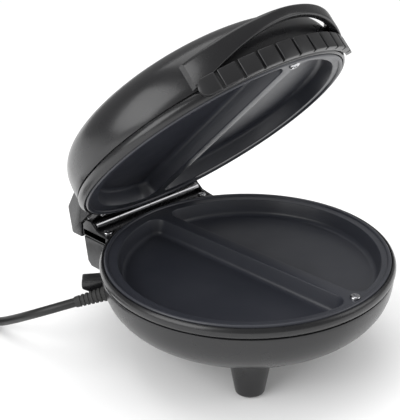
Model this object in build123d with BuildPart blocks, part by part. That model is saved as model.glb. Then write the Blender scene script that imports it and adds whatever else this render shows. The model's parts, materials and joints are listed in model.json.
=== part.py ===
from build123d import *
from math import asin, cos, pi, radians, sin, tan
import os

# Electric omelette maker: a bowl-shaped base and a domed lid, each holding a non-stick plate with two
# half-moon wells, joined by a steel hinge at the back.  Millimetres.  The origin is on the table, on
# the axis of the bowl; the hinge runs along X, the front faces -Y and +Z is up.  The lid is modelled
# closed and raised to its resting angle when it is written.

# ---------------------------------------------------------------- driving dimensions
body_radius = 107.0  # both housings at their parting lines
housing_wall = 2.5
base_clearance = 18.0  # bowl's lowest point above the table
bowl_depth = 50.0
bowl_exponent = 2.5
dome_height = 43.0
dome_exponent = 3.4
profile_steps = 7

bezel_height = 8.0
bezel_bulge = 1.3  # how far the bezel stands out past the housing
bezel_wall = 3.2
seam_width = 0.9  # dark line between housing and bezel
seam_depth = 1.8
rim_gap = 4.0  # between the two bezels when the lid is closed
skirt_height = 3.0
skirt_thickness = 1.2
fit_clearance = 0.3

plate_thickness = 3.0
plate_clearance = 0.5
plate_drop = 0.5  # flange below the bezel's rim
lip_width = 3.0
lip_height = 1.5
well_radius = 95.5
well_centre_y = -2.0
well_depth = 13.0
well_draft = 12.0
well_corner = 9.0
well_floor_fillet = 4.0
divider_width = 11.0
ledge_width = 4.0
ledge_thickness = 2.5

hinge_y = 110.5
hinge_z = 79.0
barrel_radius = 3.5
leaf_thickness = 1.4
hinge_clearance = 0.05
knuckle_gap = 0.4
knuckle_ends = (-55.0, -32.0, 0.0, 32.0, 55.0)
swing_clearance = 0.7
leaf_height = 22.0
rest_opening = 43.0  # the photographed pose
stop_opening = 50.0

box_half_width = 58.0
box_rear_y = 121.5
box_floor_z = 43.0
cheek_height = 8.0
cheek_thickness = 2.5
cheek_slope = 7.0
cheek_corner = 4.5  # cut off the rear top corner, clear of the lid on its way
deck_drop = 1.0
deck_skin = 2.5
rib_thickness = 3.0
stop_gap = 2.0  # between the rear boxes at rest

foot_reach = 69.0
foot_root_width = 30.0
foot_root_depth = 24.0
foot_tip_width = 20.0
foot_tip_depth = 16.0
foot_count = 4
pad_radius = 5.5
pad_thickness = 1.6
pad_proud = 0.8

grip_span = 40.0  # degrees each side of the front
grip_height = 12.0
grip_stand = 4.5
grip_backing = 1.5
grip_blocks = 11
grip_groove = 2.0
grip_clearance = 0.3

handle_span = 40.0
handle_reach = 119.0
handle_root_radius = 110.5
handle_thickness = 4.5
handle_low_root = 9.0
handle_low_middle = 23.0
handle_high_root = 26.0
handle_high_middle = 31.0

element_radius = 60.0
element_tube = 3.2
element_arc = 300.0
strap_width = 12.0
strap_thickness = 1.2
reflector_radius = 78.0
reflector_sheet = 0.8
reflector_rim = 3.0
stud_radius = 5.0

cord_diameter = 7.0
cord_exit_angle = 141.5
cord_exit_z = 48.0
cord_exit_radius = 104.5
relief_length = 24.0
relief_root_radius = 5.6
cord_exit_tilt = 14.0
cord_first_run = 19.0
cord_route_bends = (  # the cord's later bends between the strain relief and its coil
    (-122.5, 108.0, 29.0),
    (-124.5, 131.0, 16.0),
    (-127.0, 153.0, 5.0),
)
coil_start = (-147.0, 196.0)
coil_heading = 120.0  # degrees from +X
coil_radius = 42.0  # first quarter turn
coil_pitch = 7.6
coil_quarters = 5  # wound inwards, and again outwards on top
coil_layer_gap = 0.5
coil_lead_in = 20.0  # the cord's last run before the coil

plug_sleeve_length = 30.0
plug_sleeve_root = 3.7
plug_sleeve_end = 6.5
plug_length = 28.0
plug_width = 24.0
plug_height = 21.0
plug_nose = 14.0
plug_corner = 5.0
plug_edge = 2.0
blade_length = 17.5
blade_width = 6.3
blade_thickness = 1.5
blade_spacing = 12.7
blade_seat = 8.0

screw_x = 51.0
screw_y = 99.0
lid_screw_x = 49.0
screw_head_radius = 3.6
screw_head_height = 1.8
screw_head_round = 1.2
screw_shank_radius = 1.5
screw_length = 16.0
screw_hole_clearance = 0.2
thread_clearance = 0.05
boss_radius = 4.0
plate_screw_y = -97.5
plate_boss_radius = 3.2
leaf_screw_x = (-40.0, 0.0, 40.0)

thermostat_place = (35.0, -18.0)
thermostat_radius = 8.0
thermostat_height = 11.0
fuse_place = (-30.0, 15.0)
fuse_radius = 2.0
fuse_length = 12.0
terminal_place = (-20.0, 60.0)
terminal_size = (28.0, 14.0, 10.0)
pad_top_z = 31.0
collar_length = 9.0
tail_length = 14.0
clamp_inset = 16.5  # along the cord, from the outlet
clamp_width = 22.0
clamp_length = 7.0
clamp_height = 5.0
wire_radius = 1.1

pin_length = 12.0
leaf_screw_rise = 16.0
rib_top_z = 72.0
box_chamfer = 4.0
foot_root_z = 30.0
foot_fillet = 2.5
rib_height = 24.0
short_screw_length = 9.0
lens_sink = 2.6
handle_wing = 4.0
handle_fillet = 1.5
lid_box_half_width = 58.5
lid_box_drop = 13.0
lid_box_depth = 13.0
lid_box_flare = 3.0
lid_box_rise = 9.0
terminal_pitch = 8.0
wire_reach = 88.0
wire_lead = 5.0
wire_rise = 3.0
wire_bend = 1.4
relief_lip = 0.6
cheek_lead = 1.5
outlet_offset = 6.2  # the outlet boss stands beside the cord
outlet_width = 14.0
outlet_reach = 18.0
outlet_top_z = 55.0
outlet_lip = 6.0
outlet_foot_z = 36.0
relief_collar_radius = 5.0
lens_x = 9.0
lens_y = -58.0
lens_radius = 3.5
lens_proud = 0.9
lamp_radius = 2.5
lamp_length = 12.0

# ---------------------------------------------------------------- sizes worked out from them
parting_z = base_clearance + bowl_depth
rim_z = parting_z + bezel_height
middle_z = rim_z + rim_gap / 2  # the lid's plate and bezel mirror the base's about this height
lid_rim_z = rim_z + rim_gap
lid_parting_z = lid_rim_z + bezel_height
deck_z = rim_z - deck_drop
bezel_outer = body_radius + bezel_bulge
ring_inner = bezel_outer - bezel_wall
plate_radius = ring_inner - plate_clearance
flange_z = rim_z - plate_drop
ledge_z = flange_z - plate_thickness
pan_z = flange_z - well_depth - plate_thickness
element_z = pan_z - thread_clearance - element_tube
strap_z = element_z - element_tube - thread_clearance - strap_thickness
reflector_z = strap_z - reflector_sheet
cheek_top_z = deck_z + cheek_height
cheek_inner_x = box_half_width - cheek_thickness
cavity_radius = body_radius - housing_wall
leaf_front_y = hinge_y + barrel_radius - leaf_thickness
leaf_rear_y = hinge_y + barrel_radius
relief_radius = barrel_radius + swing_clearance
barrel_end = knuckle_ends[-1]
bore_radius = barrel_radius - leaf_thickness
pin_radius = bore_radius - hinge_clearance
hinge_axis = Axis((0, hinge_y, hinge_z), (1, 0, 0))
coil_layer = cord_diameter + coil_layer_gap
cord_radius = cord_diameter / 2

frame_shift = -15.6  # along Y, from the bowl's axis to the middle of the raised machine

os.makedirs("parts", exist_ok=True)


def export_in_frame(part, label):
    """Writes a sub-part with the origin on the table, under the machine's middle."""
    placed = part.moved(Location((0, frame_shift, 0)))
    placed.label = label
    export_step(placed, f"parts/{label}.step")


# ---------------------------------------------------------------- shared shapes
def raised(part):
    """A lid piece turned from its closed place to the resting angle."""
    return part.rotate(hinge_axis, -rest_opening)


def turned_over(part):
    """A piece of the base turned over about the middle of the rim gap, to serve in the lid."""
    return part.rotate(Axis((0, 0, middle_z), (0, 1, 0)), 180)


def bowl(radius, depth, exponent, rim, direction):
    """Solid of revolution whose wall is a superellipse from its rim to its pole."""
    points = []
    for step in range(profile_steps):
        turn = radians(90 * step / profile_steps)
        out = radius * cos(turn) ** (2 / exponent)
        rise = depth * sin(turn) ** (2 / exponent)
        points.append((out, rim + direction * rise))
    pole = (0, rim + direction * depth)
    with BuildPart() as body:
        with BuildSketch(Plane.XZ):
            with BuildLine():
                Spline(*points, pole, tangents=[(0, direction), (-1, 0)])
                Polyline(pole, (0, rim), (radius, rim))
            make_face()
        revolve(axis=Axis.Z)
    return body.part


def bezel_ring():
    """Lower bezel's ring, with its seam step, bulged side, plate ledge and locating skirt."""
    seam_z = parting_z + seam_width
    seam_radius = body_radius - seam_depth
    skirt_outer = cavity_radius - fit_clearance
    skirt_inner = skirt_outer - skirt_thickness
    skirt_z = parting_z - skirt_height
    ledge_under = ledge_z - ledge_thickness
    ledge_inner = ring_inner - ledge_width
    with BuildPart() as ring:
        with BuildSketch(Plane.XZ):
            with BuildLine():
                side = ThreePointArc(
                    (body_radius, seam_z),
                    (bezel_outer, (seam_z + rim_z) / 2),
                    (body_radius - bezel_bulge / 2, rim_z),
                )
                Polyline(
                    side @ 1,
                    (ring_inner, rim_z),
                    (ring_inner, ledge_z),
                    (ledge_inner, ledge_z),
                    (ledge_inner, ledge_under),
                    (skirt_inner, ledge_under),
                    (skirt_inner, skirt_z),
                    (skirt_outer, skirt_z),
                    (skirt_outer, parting_z),
                    (seam_radius, parting_z),
                    (seam_radius, seam_z),
                    side @ 0,
                )
            make_face()
        revolve(axis=Axis.Z)
    return ring.part


def half_moon(plane, side, grown):
    """Outline of one well, or of its pan where grown is the pan's wall."""
    radius = well_radius + grown
    edge = divider_width / 2 - grown
    with BuildSketch(plane) as outline:
        with Locations((0, -well_centre_y)):
            Circle(radius)
        with Locations((side * (edge + radius), 0)):
            Rectangle(2 * radius, 4 * radius, mode=Mode.INTERSECT)
        fillet(outline.vertices(), well_corner + grown)
    return outline.sketch


def cooking_plate():
    """Lower plate: flange with a rounded outer lip, two drafted half-moon pans and a centre stud."""
    down = Plane(origin=(0, 0, flange_z), x_dir=(1, 0, 0), z_dir=(0, 0, -1))
    outer = [half_moon(down, side, plate_thickness) for side in (-1, 1)]
    inner = [half_moon(down, side, 0) for side in (-1, 1)]
    with BuildPart() as plate:
        with BuildSketch(Plane.XY.offset(ledge_z)):
            Circle(plate_radius)
        extrude(amount=plate_thickness)
        with BuildSketch(Plane.XZ):
            with BuildLine():
                Line((plate_radius, flange_z), (plate_radius - lip_width, flange_z))
                ThreePointArc(
                    (plate_radius - lip_width, flange_z),
                    (plate_radius - lip_width / 2, flange_z + lip_height),
                    (plate_radius, flange_z),
                )
            make_face()
        revolve(axis=Axis.Z)
        for outline in outer:
            extrude(outline, amount=well_depth + plate_thickness, taper=well_draft)
        for outline in inner:
            extrude(outline, amount=well_depth, taper=well_draft, mode=Mode.SUBTRACT)
        floor_edges = plate.edges().filter_by_position(
            Axis.Z, flange_z - well_depth - plate_drop, flange_z - well_depth + plate_drop
        )
        fillet(floor_edges, well_floor_fillet)
        with BuildSketch(Plane.XY.offset(strap_z + strap_thickness)):
            Circle(stud_radius)
        extrude(until=Until.NEXT)
        with Locations((0, 0, strap_z + strap_thickness)):
            Cylinder(
                screw_shank_radius + thread_clearance,
                screw_length,
                align=(Align.CENTER, Align.CENTER, Align.MIN),
                mode=Mode.SUBTRACT,
            )
        with Locations((0, plate_screw_y, flange_z)):
            Hole(screw_shank_radius + screw_hole_clearance)
    return plate.part


def radial_plane(angle):
    """Upright plane through the bowl's axis whose local x points outwards at an angle from +X."""
    turn = radians(angle)
    return Plane(origin=(0, 0, 0), x_dir=(cos(turn), sin(turn), 0), z_dir=(sin(turn), -cos(turn), 0))


def heating_element():
    """Tubular element bent into an open ring under the pans, with its two terminal pins."""
    start = 90 + (360 - element_arc) / 2
    with BuildPart() as element:
        with BuildSketch(radial_plane(start)):
            with Locations((element_radius, element_z)):
                Circle(element_tube)
        revolve(axis=Axis.Z, revolution_arc=element_arc)
        for angle, inwards in ((start, 1), (180 - start, -1)):
            with BuildSketch(radial_plane(angle)):
                with Locations((element_radius, element_z)):
                    Circle(screw_shank_radius)
            extrude(amount=inwards * pin_length)
    return element.part


def clamp_strap():
    """Steel strap across the element, held to the plate's stud."""
    reach = element_radius + 2 * element_tube
    with BuildPart() as strap:
        with BuildSketch(Plane.XY.offset(strap_z)):
            SlotOverall(2 * reach, strap_width)
            Circle(screw_shank_radius + screw_hole_clearance, mode=Mode.SUBTRACT)
        extrude(amount=strap_thickness)
    return strap.part


def reflector(vents):
    """Thin dish under the element, with a raised rim and round openings."""
    with BuildPart() as dish:
        with BuildSketch(Plane.XY.offset(reflector_z)):
            Circle(reflector_radius)
        extrude(amount=reflector_sheet)
        with BuildSketch(Plane.XY.offset(reflector_z)):
            Circle(reflector_radius)
            Circle(reflector_radius - reflector_sheet, mode=Mode.SUBTRACT)
        extrude(amount=reflector_rim)
        with Locations((0, 0, reflector_z + reflector_sheet)):
            Hole(screw_shank_radius + screw_hole_clearance)
        for place, radius in vents:
            with Locations((*place, reflector_z + reflector_sheet)):
                Hole(radius)
    return dish.part


def pan_screw(length):
    """Round-headed screw with a cross recess, pointing down from the origin."""
    recess = screw_head_radius / 4
    with BuildPart() as screw:
        Cylinder(screw_head_radius, screw_head_height, align=(Align.CENTER, Align.CENTER, Align.MIN))
        fillet(screw.faces().sort_by(Axis.Z)[-1].edges(), screw_head_round)
        Cylinder(screw_shank_radius, length, align=(Align.CENTER, Align.CENTER, Align.MAX))
        with BuildSketch(Plane.XY.offset(screw_head_height)):
            Rectangle(screw_head_radius, recess)
            Rectangle(recess, screw_head_radius)
        extrude(amount=-screw_head_height / 2, mode=Mode.SUBTRACT)
    return screw.part


def hinge_leaf(first_knuckle, upwards):
    """Steel leaf rolled round the pin at every second knuckle, running up or down from the barrel."""
    direction = 1 if upwards else -1
    with BuildPart() as leaf:
        for index in range(first_knuckle, len(knuckle_ends) - 1, 2):
            left = knuckle_ends[index] + (knuckle_gap / 2 if index else 0)
            inner_end = index + 2 < len(knuckle_ends)
            right = knuckle_ends[index + 1] - (knuckle_gap / 2 if inner_end else 0)
            with BuildSketch(Plane.YZ.offset(left)):
                with Locations((hinge_y, hinge_z)):
                    Circle(barrel_radius)
                with Locations((leaf_rear_y - leaf_thickness / 2, hinge_z + direction * relief_radius / 2)):
                    Rectangle(leaf_thickness, relief_radius)
                with Locations((hinge_y, hinge_z)):
                    Circle(bore_radius, mode=Mode.SUBTRACT)
            extrude(amount=right - left)
        with BuildSketch(Plane.XZ.offset(-leaf_front_y)):
            with Locations((0, hinge_z + direction * (relief_radius + leaf_height) / 2)):
                Rectangle(2 * barrel_end, leaf_height - relief_radius)
            with Locations([(x, hinge_z + direction * leaf_screw_rise) for x in leaf_screw_x]):
                Circle(screw_shank_radius + screw_hole_clearance, mode=Mode.SUBTRACT)
        extrude(amount=-leaf_thickness)
    return leaf.part


def tube(points, radii, radius):
    """Round tube along straight runs joined by tangent arcs."""
    with BuildPart() as pipe:
        with BuildLine():
            path = FilletPolyline(*points, radius=radii)
        with BuildSketch(Plane(origin=path @ 0, z_dir=path % 0)):
            Circle(radius)
        sweep()
    return pipe.part


def bend_radii(points):
    """Radius of the arc at each inner point, as large as its two runs allow."""
    radii = []
    for before, corner, after in zip(points, points[1:], points[2:]):
        arriving = Vector(*corner) - Vector(*before)
        leaving = Vector(*after) - Vector(*corner)
        half_turn = radians(arriving.get_angle(leaving) / 2)
        radii.append(0.45 * min(arriving.length, leaving.length) / tan(half_turn))
    return radii


# ---------------------------------------------------------------- base housing
box_front_y = body_radius / 2
box_outline = [
    (box_front_y, parting_z),
    (box_rear_y, parting_z),
    (box_rear_y - housing_wall, box_floor_z + box_chamfer),
    (box_rear_y - housing_wall - box_chamfer, box_floor_z),
    (box_front_y, box_floor_z),
]
foot_turns = [360 / foot_count * (index + 0.5) for index in range(foot_count)]
exit_plane = radial_plane(cord_exit_angle)
exit_point = exit_plane.x_dir * cord_exit_radius + Vector(0, 0, cord_exit_z)
exit_direction = exit_plane.x_dir * cos(radians(cord_exit_tilt)) - Vector(0, 0, sin(radians(cord_exit_tilt)))
exit_bore = Plane(origin=exit_point, z_dir=exit_direction)
clamp_place = exit_point - exit_direction * clamp_inset
clamp_plane = Plane(origin=clamp_place, x_dir=exit_plane.z_dir * -1, z_dir=exit_direction)

with BuildPart() as base_cavity:
    add(bowl(cavity_radius, bowl_depth - housing_wall, bowl_exponent, parting_z, -1))
    with BuildSketch(Plane.YZ.offset(housing_wall - box_half_width)) as box_inside:
        with BuildLine():
            Polyline(*box_outline, close=True)
        make_face()
        offset(amount=-housing_wall)
        with Locations((box_rear_y - 2 * housing_wall, parting_z)):
            Rectangle(box_front_y / 2, 3 * housing_wall, align=(Align.MAX, Align.MAX))
    extrude(amount=2 * (box_half_width - housing_wall))
    # rib behind the hinge leaf
    with BuildSketch(Plane.XY.offset(rib_top_z - rib_height)):
        with Locations((0, leaf_rear_y + rib_thickness / 2)):
            Rectangle(2 * box_half_width, rib_thickness)
    extrude(amount=rib_height, mode=Mode.SUBTRACT)
    # bosses for the deck screws and the plate screw
    with BuildSketch(Plane.XY.offset(parting_z)):
        with Locations((-screw_x, screw_y), (screw_x, screw_y)):
            Circle(boss_radius)
    extrude(amount=-bowl_depth, mode=Mode.SUBTRACT)
    with BuildSketch(Plane.XY.offset(parting_z - skirt_height - fit_clearance)):
        with Locations((0, plate_screw_y)):
            Circle(plate_boss_radius)
    extrude(amount=-bowl_depth / 3, mode=Mode.SUBTRACT)
    # pads under the terminal block and the cord's tail
    with BuildSketch(Plane.XY.offset(pad_top_z)):
        with Locations(terminal_place):
            Rectangle(terminal_size[0], terminal_size[1])
    extrude(amount=-pad_top_z, mode=Mode.SUBTRACT)
    pad_place = clamp_place - clamp_plane.y_dir * cord_radius
    with BuildSketch(Plane(origin=pad_place, x_dir=exit_direction, z_dir=clamp_plane.y_dir)):
        Rectangle(clamp_length, clamp_width)
    extrude(amount=-bowl_depth, mode=Mode.SUBTRACT)

with BuildPart() as base_housing:
    add(bowl(body_radius, bowl_depth, bowl_exponent, parting_z, -1))
    with BuildSketch(Plane.YZ.offset(-box_half_width)):
        with BuildLine():
            Polyline(*box_outline, close=True)
        make_face()
    extrude(amount=2 * box_half_width)
    # four legs, each lofted from a wide oval inside the bowl to a narrow oval at its tip
    for turn in foot_turns:
        out = radial_plane(turn).x_dir
        with BuildSketch(Plane(origin=out * foot_reach + Vector(0, 0, foot_root_z), x_dir=out)):
            Ellipse(foot_root_depth / 2, foot_root_width / 2)
        with BuildSketch(Plane(origin=out * foot_reach + Vector(0, 0, pad_proud), x_dir=out)):
            Ellipse(foot_tip_depth / 2, foot_tip_width / 2)
        loft()
    fillet(base_housing.edges().group_by(Axis.Z)[0], foot_fillet)
    # guard that narrows downwards beside the cord's outlet
    with BuildSketch(exit_plane.offset(outlet_offset)):
        with BuildLine():
            Polyline(
                (cord_exit_radius - outlet_reach, outlet_top_z),
                (cord_exit_radius + outlet_reach, outlet_top_z),
                (cord_exit_radius + outlet_reach, outlet_top_z - outlet_lip),
                (cord_exit_radius - outlet_reach / 2, outlet_foot_z),
                (cord_exit_radius - outlet_reach, outlet_foot_z),
                close=True,
            )
        make_face()
    extrude(amount=outlet_width)
    add(base_cavity.part, mode=Mode.SUBTRACT)
    for turn in foot_turns:
        with Locations(radial_plane(turn).x_dir * foot_reach):
            Cylinder(
                pad_radius + thread_clearance,
                pad_thickness,
                align=(Align.CENTER, Align.CENTER, Align.MIN),
                mode=Mode.SUBTRACT,
            )
    with Locations(exit_bore):
        Cylinder(relief_collar_radius + thread_clearance, 2 * outlet_reach, mode=Mode.SUBTRACT)
    # screw holes
    base_screw_places = [(-screw_x, screw_y), (screw_x, screw_y), (0, plate_screw_y)]
    with Locations([(*place, parting_z) for place in base_screw_places]):
        Cylinder(
            screw_shank_radius + thread_clearance,
            screw_length,
            align=(Align.CENTER, Align.CENTER, Align.MAX),
            mode=Mode.SUBTRACT,
        )
    with BuildSketch(Plane.XZ.offset(-leaf_rear_y)):
        with Locations([(x, hinge_z - leaf_screw_rise) for x in leaf_screw_x]):
            Circle(screw_shank_radius + thread_clearance)
    extrude(amount=-rib_thickness, mode=Mode.SUBTRACT)
base_housing.part.label = "base_housing"
export_in_frame(base_housing.part, "base_housing")

with BuildPart() as foot_pads:
    for turn in foot_turns:
        with Locations(radial_plane(turn).x_dir * foot_reach):
            Cylinder(pad_radius, pad_thickness, align=(Align.CENTER, Align.CENTER, Align.MIN))
foot_pads.part.label = "foot_pads"
export_in_frame(foot_pads.part, "foot_pads")

# ---------------------------------------------------------------- base bezel
deck_bottom = parting_z + seam_width
with BuildPart() as base_bezel:
    add(bezel_ring())
    with BuildSketch(Plane.XY.offset(deck_bottom)):
        Rectangle(2 * box_half_width, box_rear_y, align=(Align.CENTER, Align.MIN))
        Rectangle(2 * box_half_width, box_front_y, align=(Align.CENTER, Align.MIN), mode=Mode.SUBTRACT)
        Circle(body_radius - bezel_bulge, mode=Mode.SUBTRACT)
    extrude(amount=deck_z - deck_bottom)
    with BuildSketch(Plane.XY.offset(parting_z)):
        Rectangle(2 * (box_half_width - seam_depth), box_rear_y - seam_depth, align=(Align.CENTER, Align.MIN))
        Rectangle(2 * box_half_width, box_front_y, align=(Align.CENTER, Align.MIN), mode=Mode.SUBTRACT)
        Circle(body_radius - bezel_bulge, mode=Mode.SUBTRACT)
    extrude(amount=seam_width)
    # cheeks beside the barrel
    for side in (-1, 1):
        with BuildSketch(Plane.YZ.offset(side * (box_half_width - cheek_thickness / 2))):
            with BuildLine():
                Polyline(
                    (box_rear_y, deck_bottom),
                    (box_rear_y, cheek_top_z - cheek_corner),
                    (box_rear_y - cheek_corner, cheek_top_z),
                    (hinge_y + cheek_lead, cheek_top_z),
                    (hinge_y + cheek_lead - cheek_slope, deck_z),
                    (hinge_y + cheek_lead - cheek_slope, deck_bottom),
                    close=True,
                )
            make_face()
        extrude(amount=cheek_thickness / 2, both=True)
    # hollow under the deck, open to the housing's box, and the slot for the hinge leaf
    with BuildSketch(Plane.XY.offset(parting_z)):
        with Locations((0, (bezel_outer + box_rear_y) / 2 - housing_wall / 2)):
            Rectangle(2 * cheek_inner_x, box_rear_y - bezel_outer - housing_wall)
    extrude(amount=deck_z - deck_skin - parting_z, mode=Mode.SUBTRACT)
    with BuildSketch(Plane.XY.offset(parting_z)):
        with Locations((0, leaf_rear_y - leaf_thickness / 2)):
            Rectangle(2 * (barrel_end + fit_clearance), leaf_thickness + 2 * fit_clearance)
    extrude(amount=bezel_height, mode=Mode.SUBTRACT)
    with BuildSketch(Plane.YZ.offset(-cheek_inner_x)):
        with Locations((hinge_y, hinge_z)):
            Circle(relief_radius)
    extrude(amount=2 * cheek_inner_x, mode=Mode.SUBTRACT)
    with Locations((-screw_x, screw_y, deck_z), (screw_x, screw_y, deck_z)):
        Hole(screw_shank_radius + screw_hole_clearance)
base_bezel.part.label = "base_bezel"
export_in_frame(base_bezel.part, "base_bezel")

# ---------------------------------------------------------------- lower plate and its heater
with BuildPart() as lower_cooking_plate:
    add(cooking_plate())
lower_cooking_plate.part.label = "lower_cooking_plate"
export_in_frame(lower_cooking_plate.part, "lower_cooking_plate")

with BuildPart() as lower_heating_element:
    add(heating_element())
lower_heating_element.part.label = "lower_heating_element"
export_in_frame(lower_heating_element.part, "lower_heating_element")

with BuildPart() as lower_element_strap:
    add(clamp_strap())
lower_element_strap.part.label = "lower_element_strap"
export_in_frame(lower_element_strap.part, "lower_element_strap")

with BuildPart() as lower_heat_reflector:
    add(reflector([(thermostat_place, thermostat_radius + screw_shank_radius)]))
lower_heat_reflector.part.label = "lower_heat_reflector"
export_in_frame(lower_heat_reflector.part, "lower_heat_reflector")

with BuildPart() as thermostat:
    with Locations((*thermostat_place, pan_z - thread_clearance)):
        Cylinder(thermostat_radius, thermostat_height, align=(Align.CENTER, Align.CENTER, Align.MAX))
    with BuildSketch(Plane.XY.offset(pan_z - thread_clearance)):
        with Locations(thermostat_place):
            SlotOverall(thermostat_radius * 3.2, thermostat_radius)
    extrude(amount=-strap_thickness)
    with BuildSketch(Plane.XY.offset(pan_z - thermostat_height)):
        with Locations([(thermostat_place[0] + x, thermostat_place[1]) for x in (-4, 4)]):
            Rectangle(blade_thickness / 2, blade_width)
    extrude(amount=-blade_seat)
thermostat.part.label = "thermostat"
export_in_frame(thermostat.part, "thermostat")

fuse_z = pan_z - thread_clearance - fuse_radius
with BuildPart() as thermal_fuse:
    with BuildSketch(Plane.XZ.offset(-fuse_place[1])):
        with Locations((fuse_place[0], fuse_z)):
            Circle(fuse_radius)
    extrude(amount=fuse_length / 2, both=True)
    with BuildSketch(Plane.XZ.offset(-fuse_place[1])):
        with Locations((fuse_place[0], fuse_z)):
            Circle(fuse_radius / 4)
    extrude(amount=fuse_length, both=True)
thermal_fuse.part.label = "thermal_fuse"
export_in_frame(thermal_fuse.part, "thermal_fuse")

# ---------------------------------------------------------------- wiring inside the base
with BuildPart() as terminal_block:
    with Locations((*terminal_place, pad_top_z)):
        Box(*terminal_size, align=(Align.CENTER, Align.CENTER, Align.MIN))
    wire_places = [(terminal_place[0] + x, terminal_place[1]) for x in (-terminal_pitch, 0, terminal_pitch)]
    with Locations([(*place, pad_top_z + terminal_size[2]) for place in wire_places]):
        Hole(screw_shank_radius, depth=terminal_size[2] / 2)
terminal_block.part.label = "terminal_block"
export_in_frame(terminal_block.part, "terminal_block")

with BuildPart() as cord_tail:
    with BuildSketch(exit_bore.offset(-collar_length)):
        Circle(cord_radius)
    extrude(amount=-tail_length)
cord_tail.part.label = "cord_tail"
export_in_frame(cord_tail.part, "cord_tail")

with BuildPart() as cord_clamp:
    with BuildSketch(clamp_plane):
        with Locations((0, -cord_radius)):
            Rectangle(clamp_width, cord_radius + clamp_height, align=(Align.CENTER, Align.MIN))
            Rectangle(
                cord_diameter + 2 * thread_clearance,
                cord_radius,
                align=(Align.CENTER, Align.MIN),
                mode=Mode.SUBTRACT,
            )
        Circle(cord_radius + thread_clearance, mode=Mode.SUBTRACT)
    extrude(amount=clamp_length / 2, both=True)
cord_clamp.part.label = "cord_clamp"
export_in_frame(cord_clamp.part, "cord_clamp")

pin_plane = radial_plane(90 + (360 - element_arc) / 2)
pin_tip = pin_plane.x_dir * element_radius + pin_plane.z_dir * pin_length + Vector(0, 0, element_z)
wire_turn = pin_tip + pin_plane.z_dir * wire_lead
block_top_z = pad_top_z + terminal_size[2]
with BuildPart() as base_wiring:
    for side, place in ((1, wire_places[0]), (-1, wire_places[2])):
        points = [
            (side * pin_tip.X, pin_tip.Y, element_z),
            (side * wire_turn.X, wire_turn.Y, element_z),
            (side * wire_turn.X, wire_reach, element_z),
            (place[0], wire_reach, block_top_z + wire_rise),
            (*place, block_top_z + wire_rise),
            (*place, block_top_z),
        ]
        add(tube(points, wire_bend, wire_radius))
base_wiring.part.label = "base_wiring"
export_in_frame(base_wiring.part, "base_wiring")

# ---------------------------------------------------------------- hinge
with BuildPart() as base_hinge_leaf:
    add(hinge_leaf(0, upwards=False))
base_hinge_leaf.part.label = "base_hinge_leaf"
export_in_frame(base_hinge_leaf.part, "base_hinge_leaf")

with BuildPart() as lid_hinge_leaf:
    add(hinge_leaf(1, upwards=True))
lid_hinge_leaf.part.label = "lid_hinge_leaf"
export_in_frame(raised(lid_hinge_leaf.part), "lid_hinge_leaf")

with BuildPart() as hinge_pin:
    with BuildSketch(Plane.YZ.offset(-barrel_end)):
        with Locations((hinge_y, hinge_z)):
            Circle(pin_radius)
    extrude(amount=2 * barrel_end)
hinge_pin.part.label = "hinge_pin"
export_in_frame(hinge_pin.part, "hinge_pin")

# ---------------------------------------------------------------- lid housing


def closed_point(out, up):
    """Where a point behind the hinge, given at the resting angle, lies on the closed lid."""
    turn = radians(rest_opening)
    return (hinge_y + out * cos(turn) - up * sin(turn), hinge_z + out * sin(turn) + up * cos(turn))


face_out = box_rear_y + stop_gap - hinge_y
shelf_rise = (lid_parting_z - hinge_z - face_out * sin(radians(rest_opening))) / cos(radians(rest_opening))
lid_box_outline = [
    (box_front_y, lid_parting_z),
    closed_point(face_out, shelf_rise),
    closed_point(face_out, -lid_box_drop),
    closed_point(face_out + lid_box_depth, -lid_box_drop),
    closed_point(face_out + lid_box_depth + lid_box_flare, lid_box_rise),
    (box_front_y, lid_parting_z + dome_height - bezel_height),
]

with BuildPart() as lid_cavity:
    add(bowl(cavity_radius, dome_height - housing_wall, dome_exponent, lid_parting_z, 1))
    with BuildSketch(Plane.YZ.offset(housing_wall - lid_box_half_width)):
        with BuildLine():
            Polyline(*lid_box_outline, close=True)
        make_face()
        offset(amount=-housing_wall)
    extrude(amount=2 * (lid_box_half_width - housing_wall))
    # rib in front of the hinge leaf
    with BuildSketch(Plane.XY.offset(lid_parting_z)):
        with Locations((0, leaf_front_y - rib_thickness / 2)):
            Rectangle(2 * box_half_width, rib_thickness)
    extrude(amount=hinge_z + rib_height - lid_parting_z, mode=Mode.SUBTRACT)
    # bosses for the bezel screws, the plate screw and the lamp sleeves
    with BuildSketch(Plane.XY.offset(lid_parting_z)):
        with Locations((-lid_screw_x, screw_y), (lid_screw_x, screw_y)):
            Circle(boss_radius)
    extrude(amount=dome_height, mode=Mode.SUBTRACT)
    with BuildSketch(Plane.XY.offset(lid_parting_z + skirt_height + fit_clearance)):
        with Locations((0, plate_screw_y)):
            Circle(plate_boss_radius)
    extrude(amount=bowl_depth / 3, mode=Mode.SUBTRACT)
    with BuildSketch(Plane.XY.offset(lid_parting_z + dome_height - housing_wall - lamp_length)):
        with Locations((-lens_x, lens_y), (lens_x, lens_y)):
            Circle(lens_radius + housing_wall / 2)
    extrude(amount=dome_height, mode=Mode.SUBTRACT)

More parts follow.
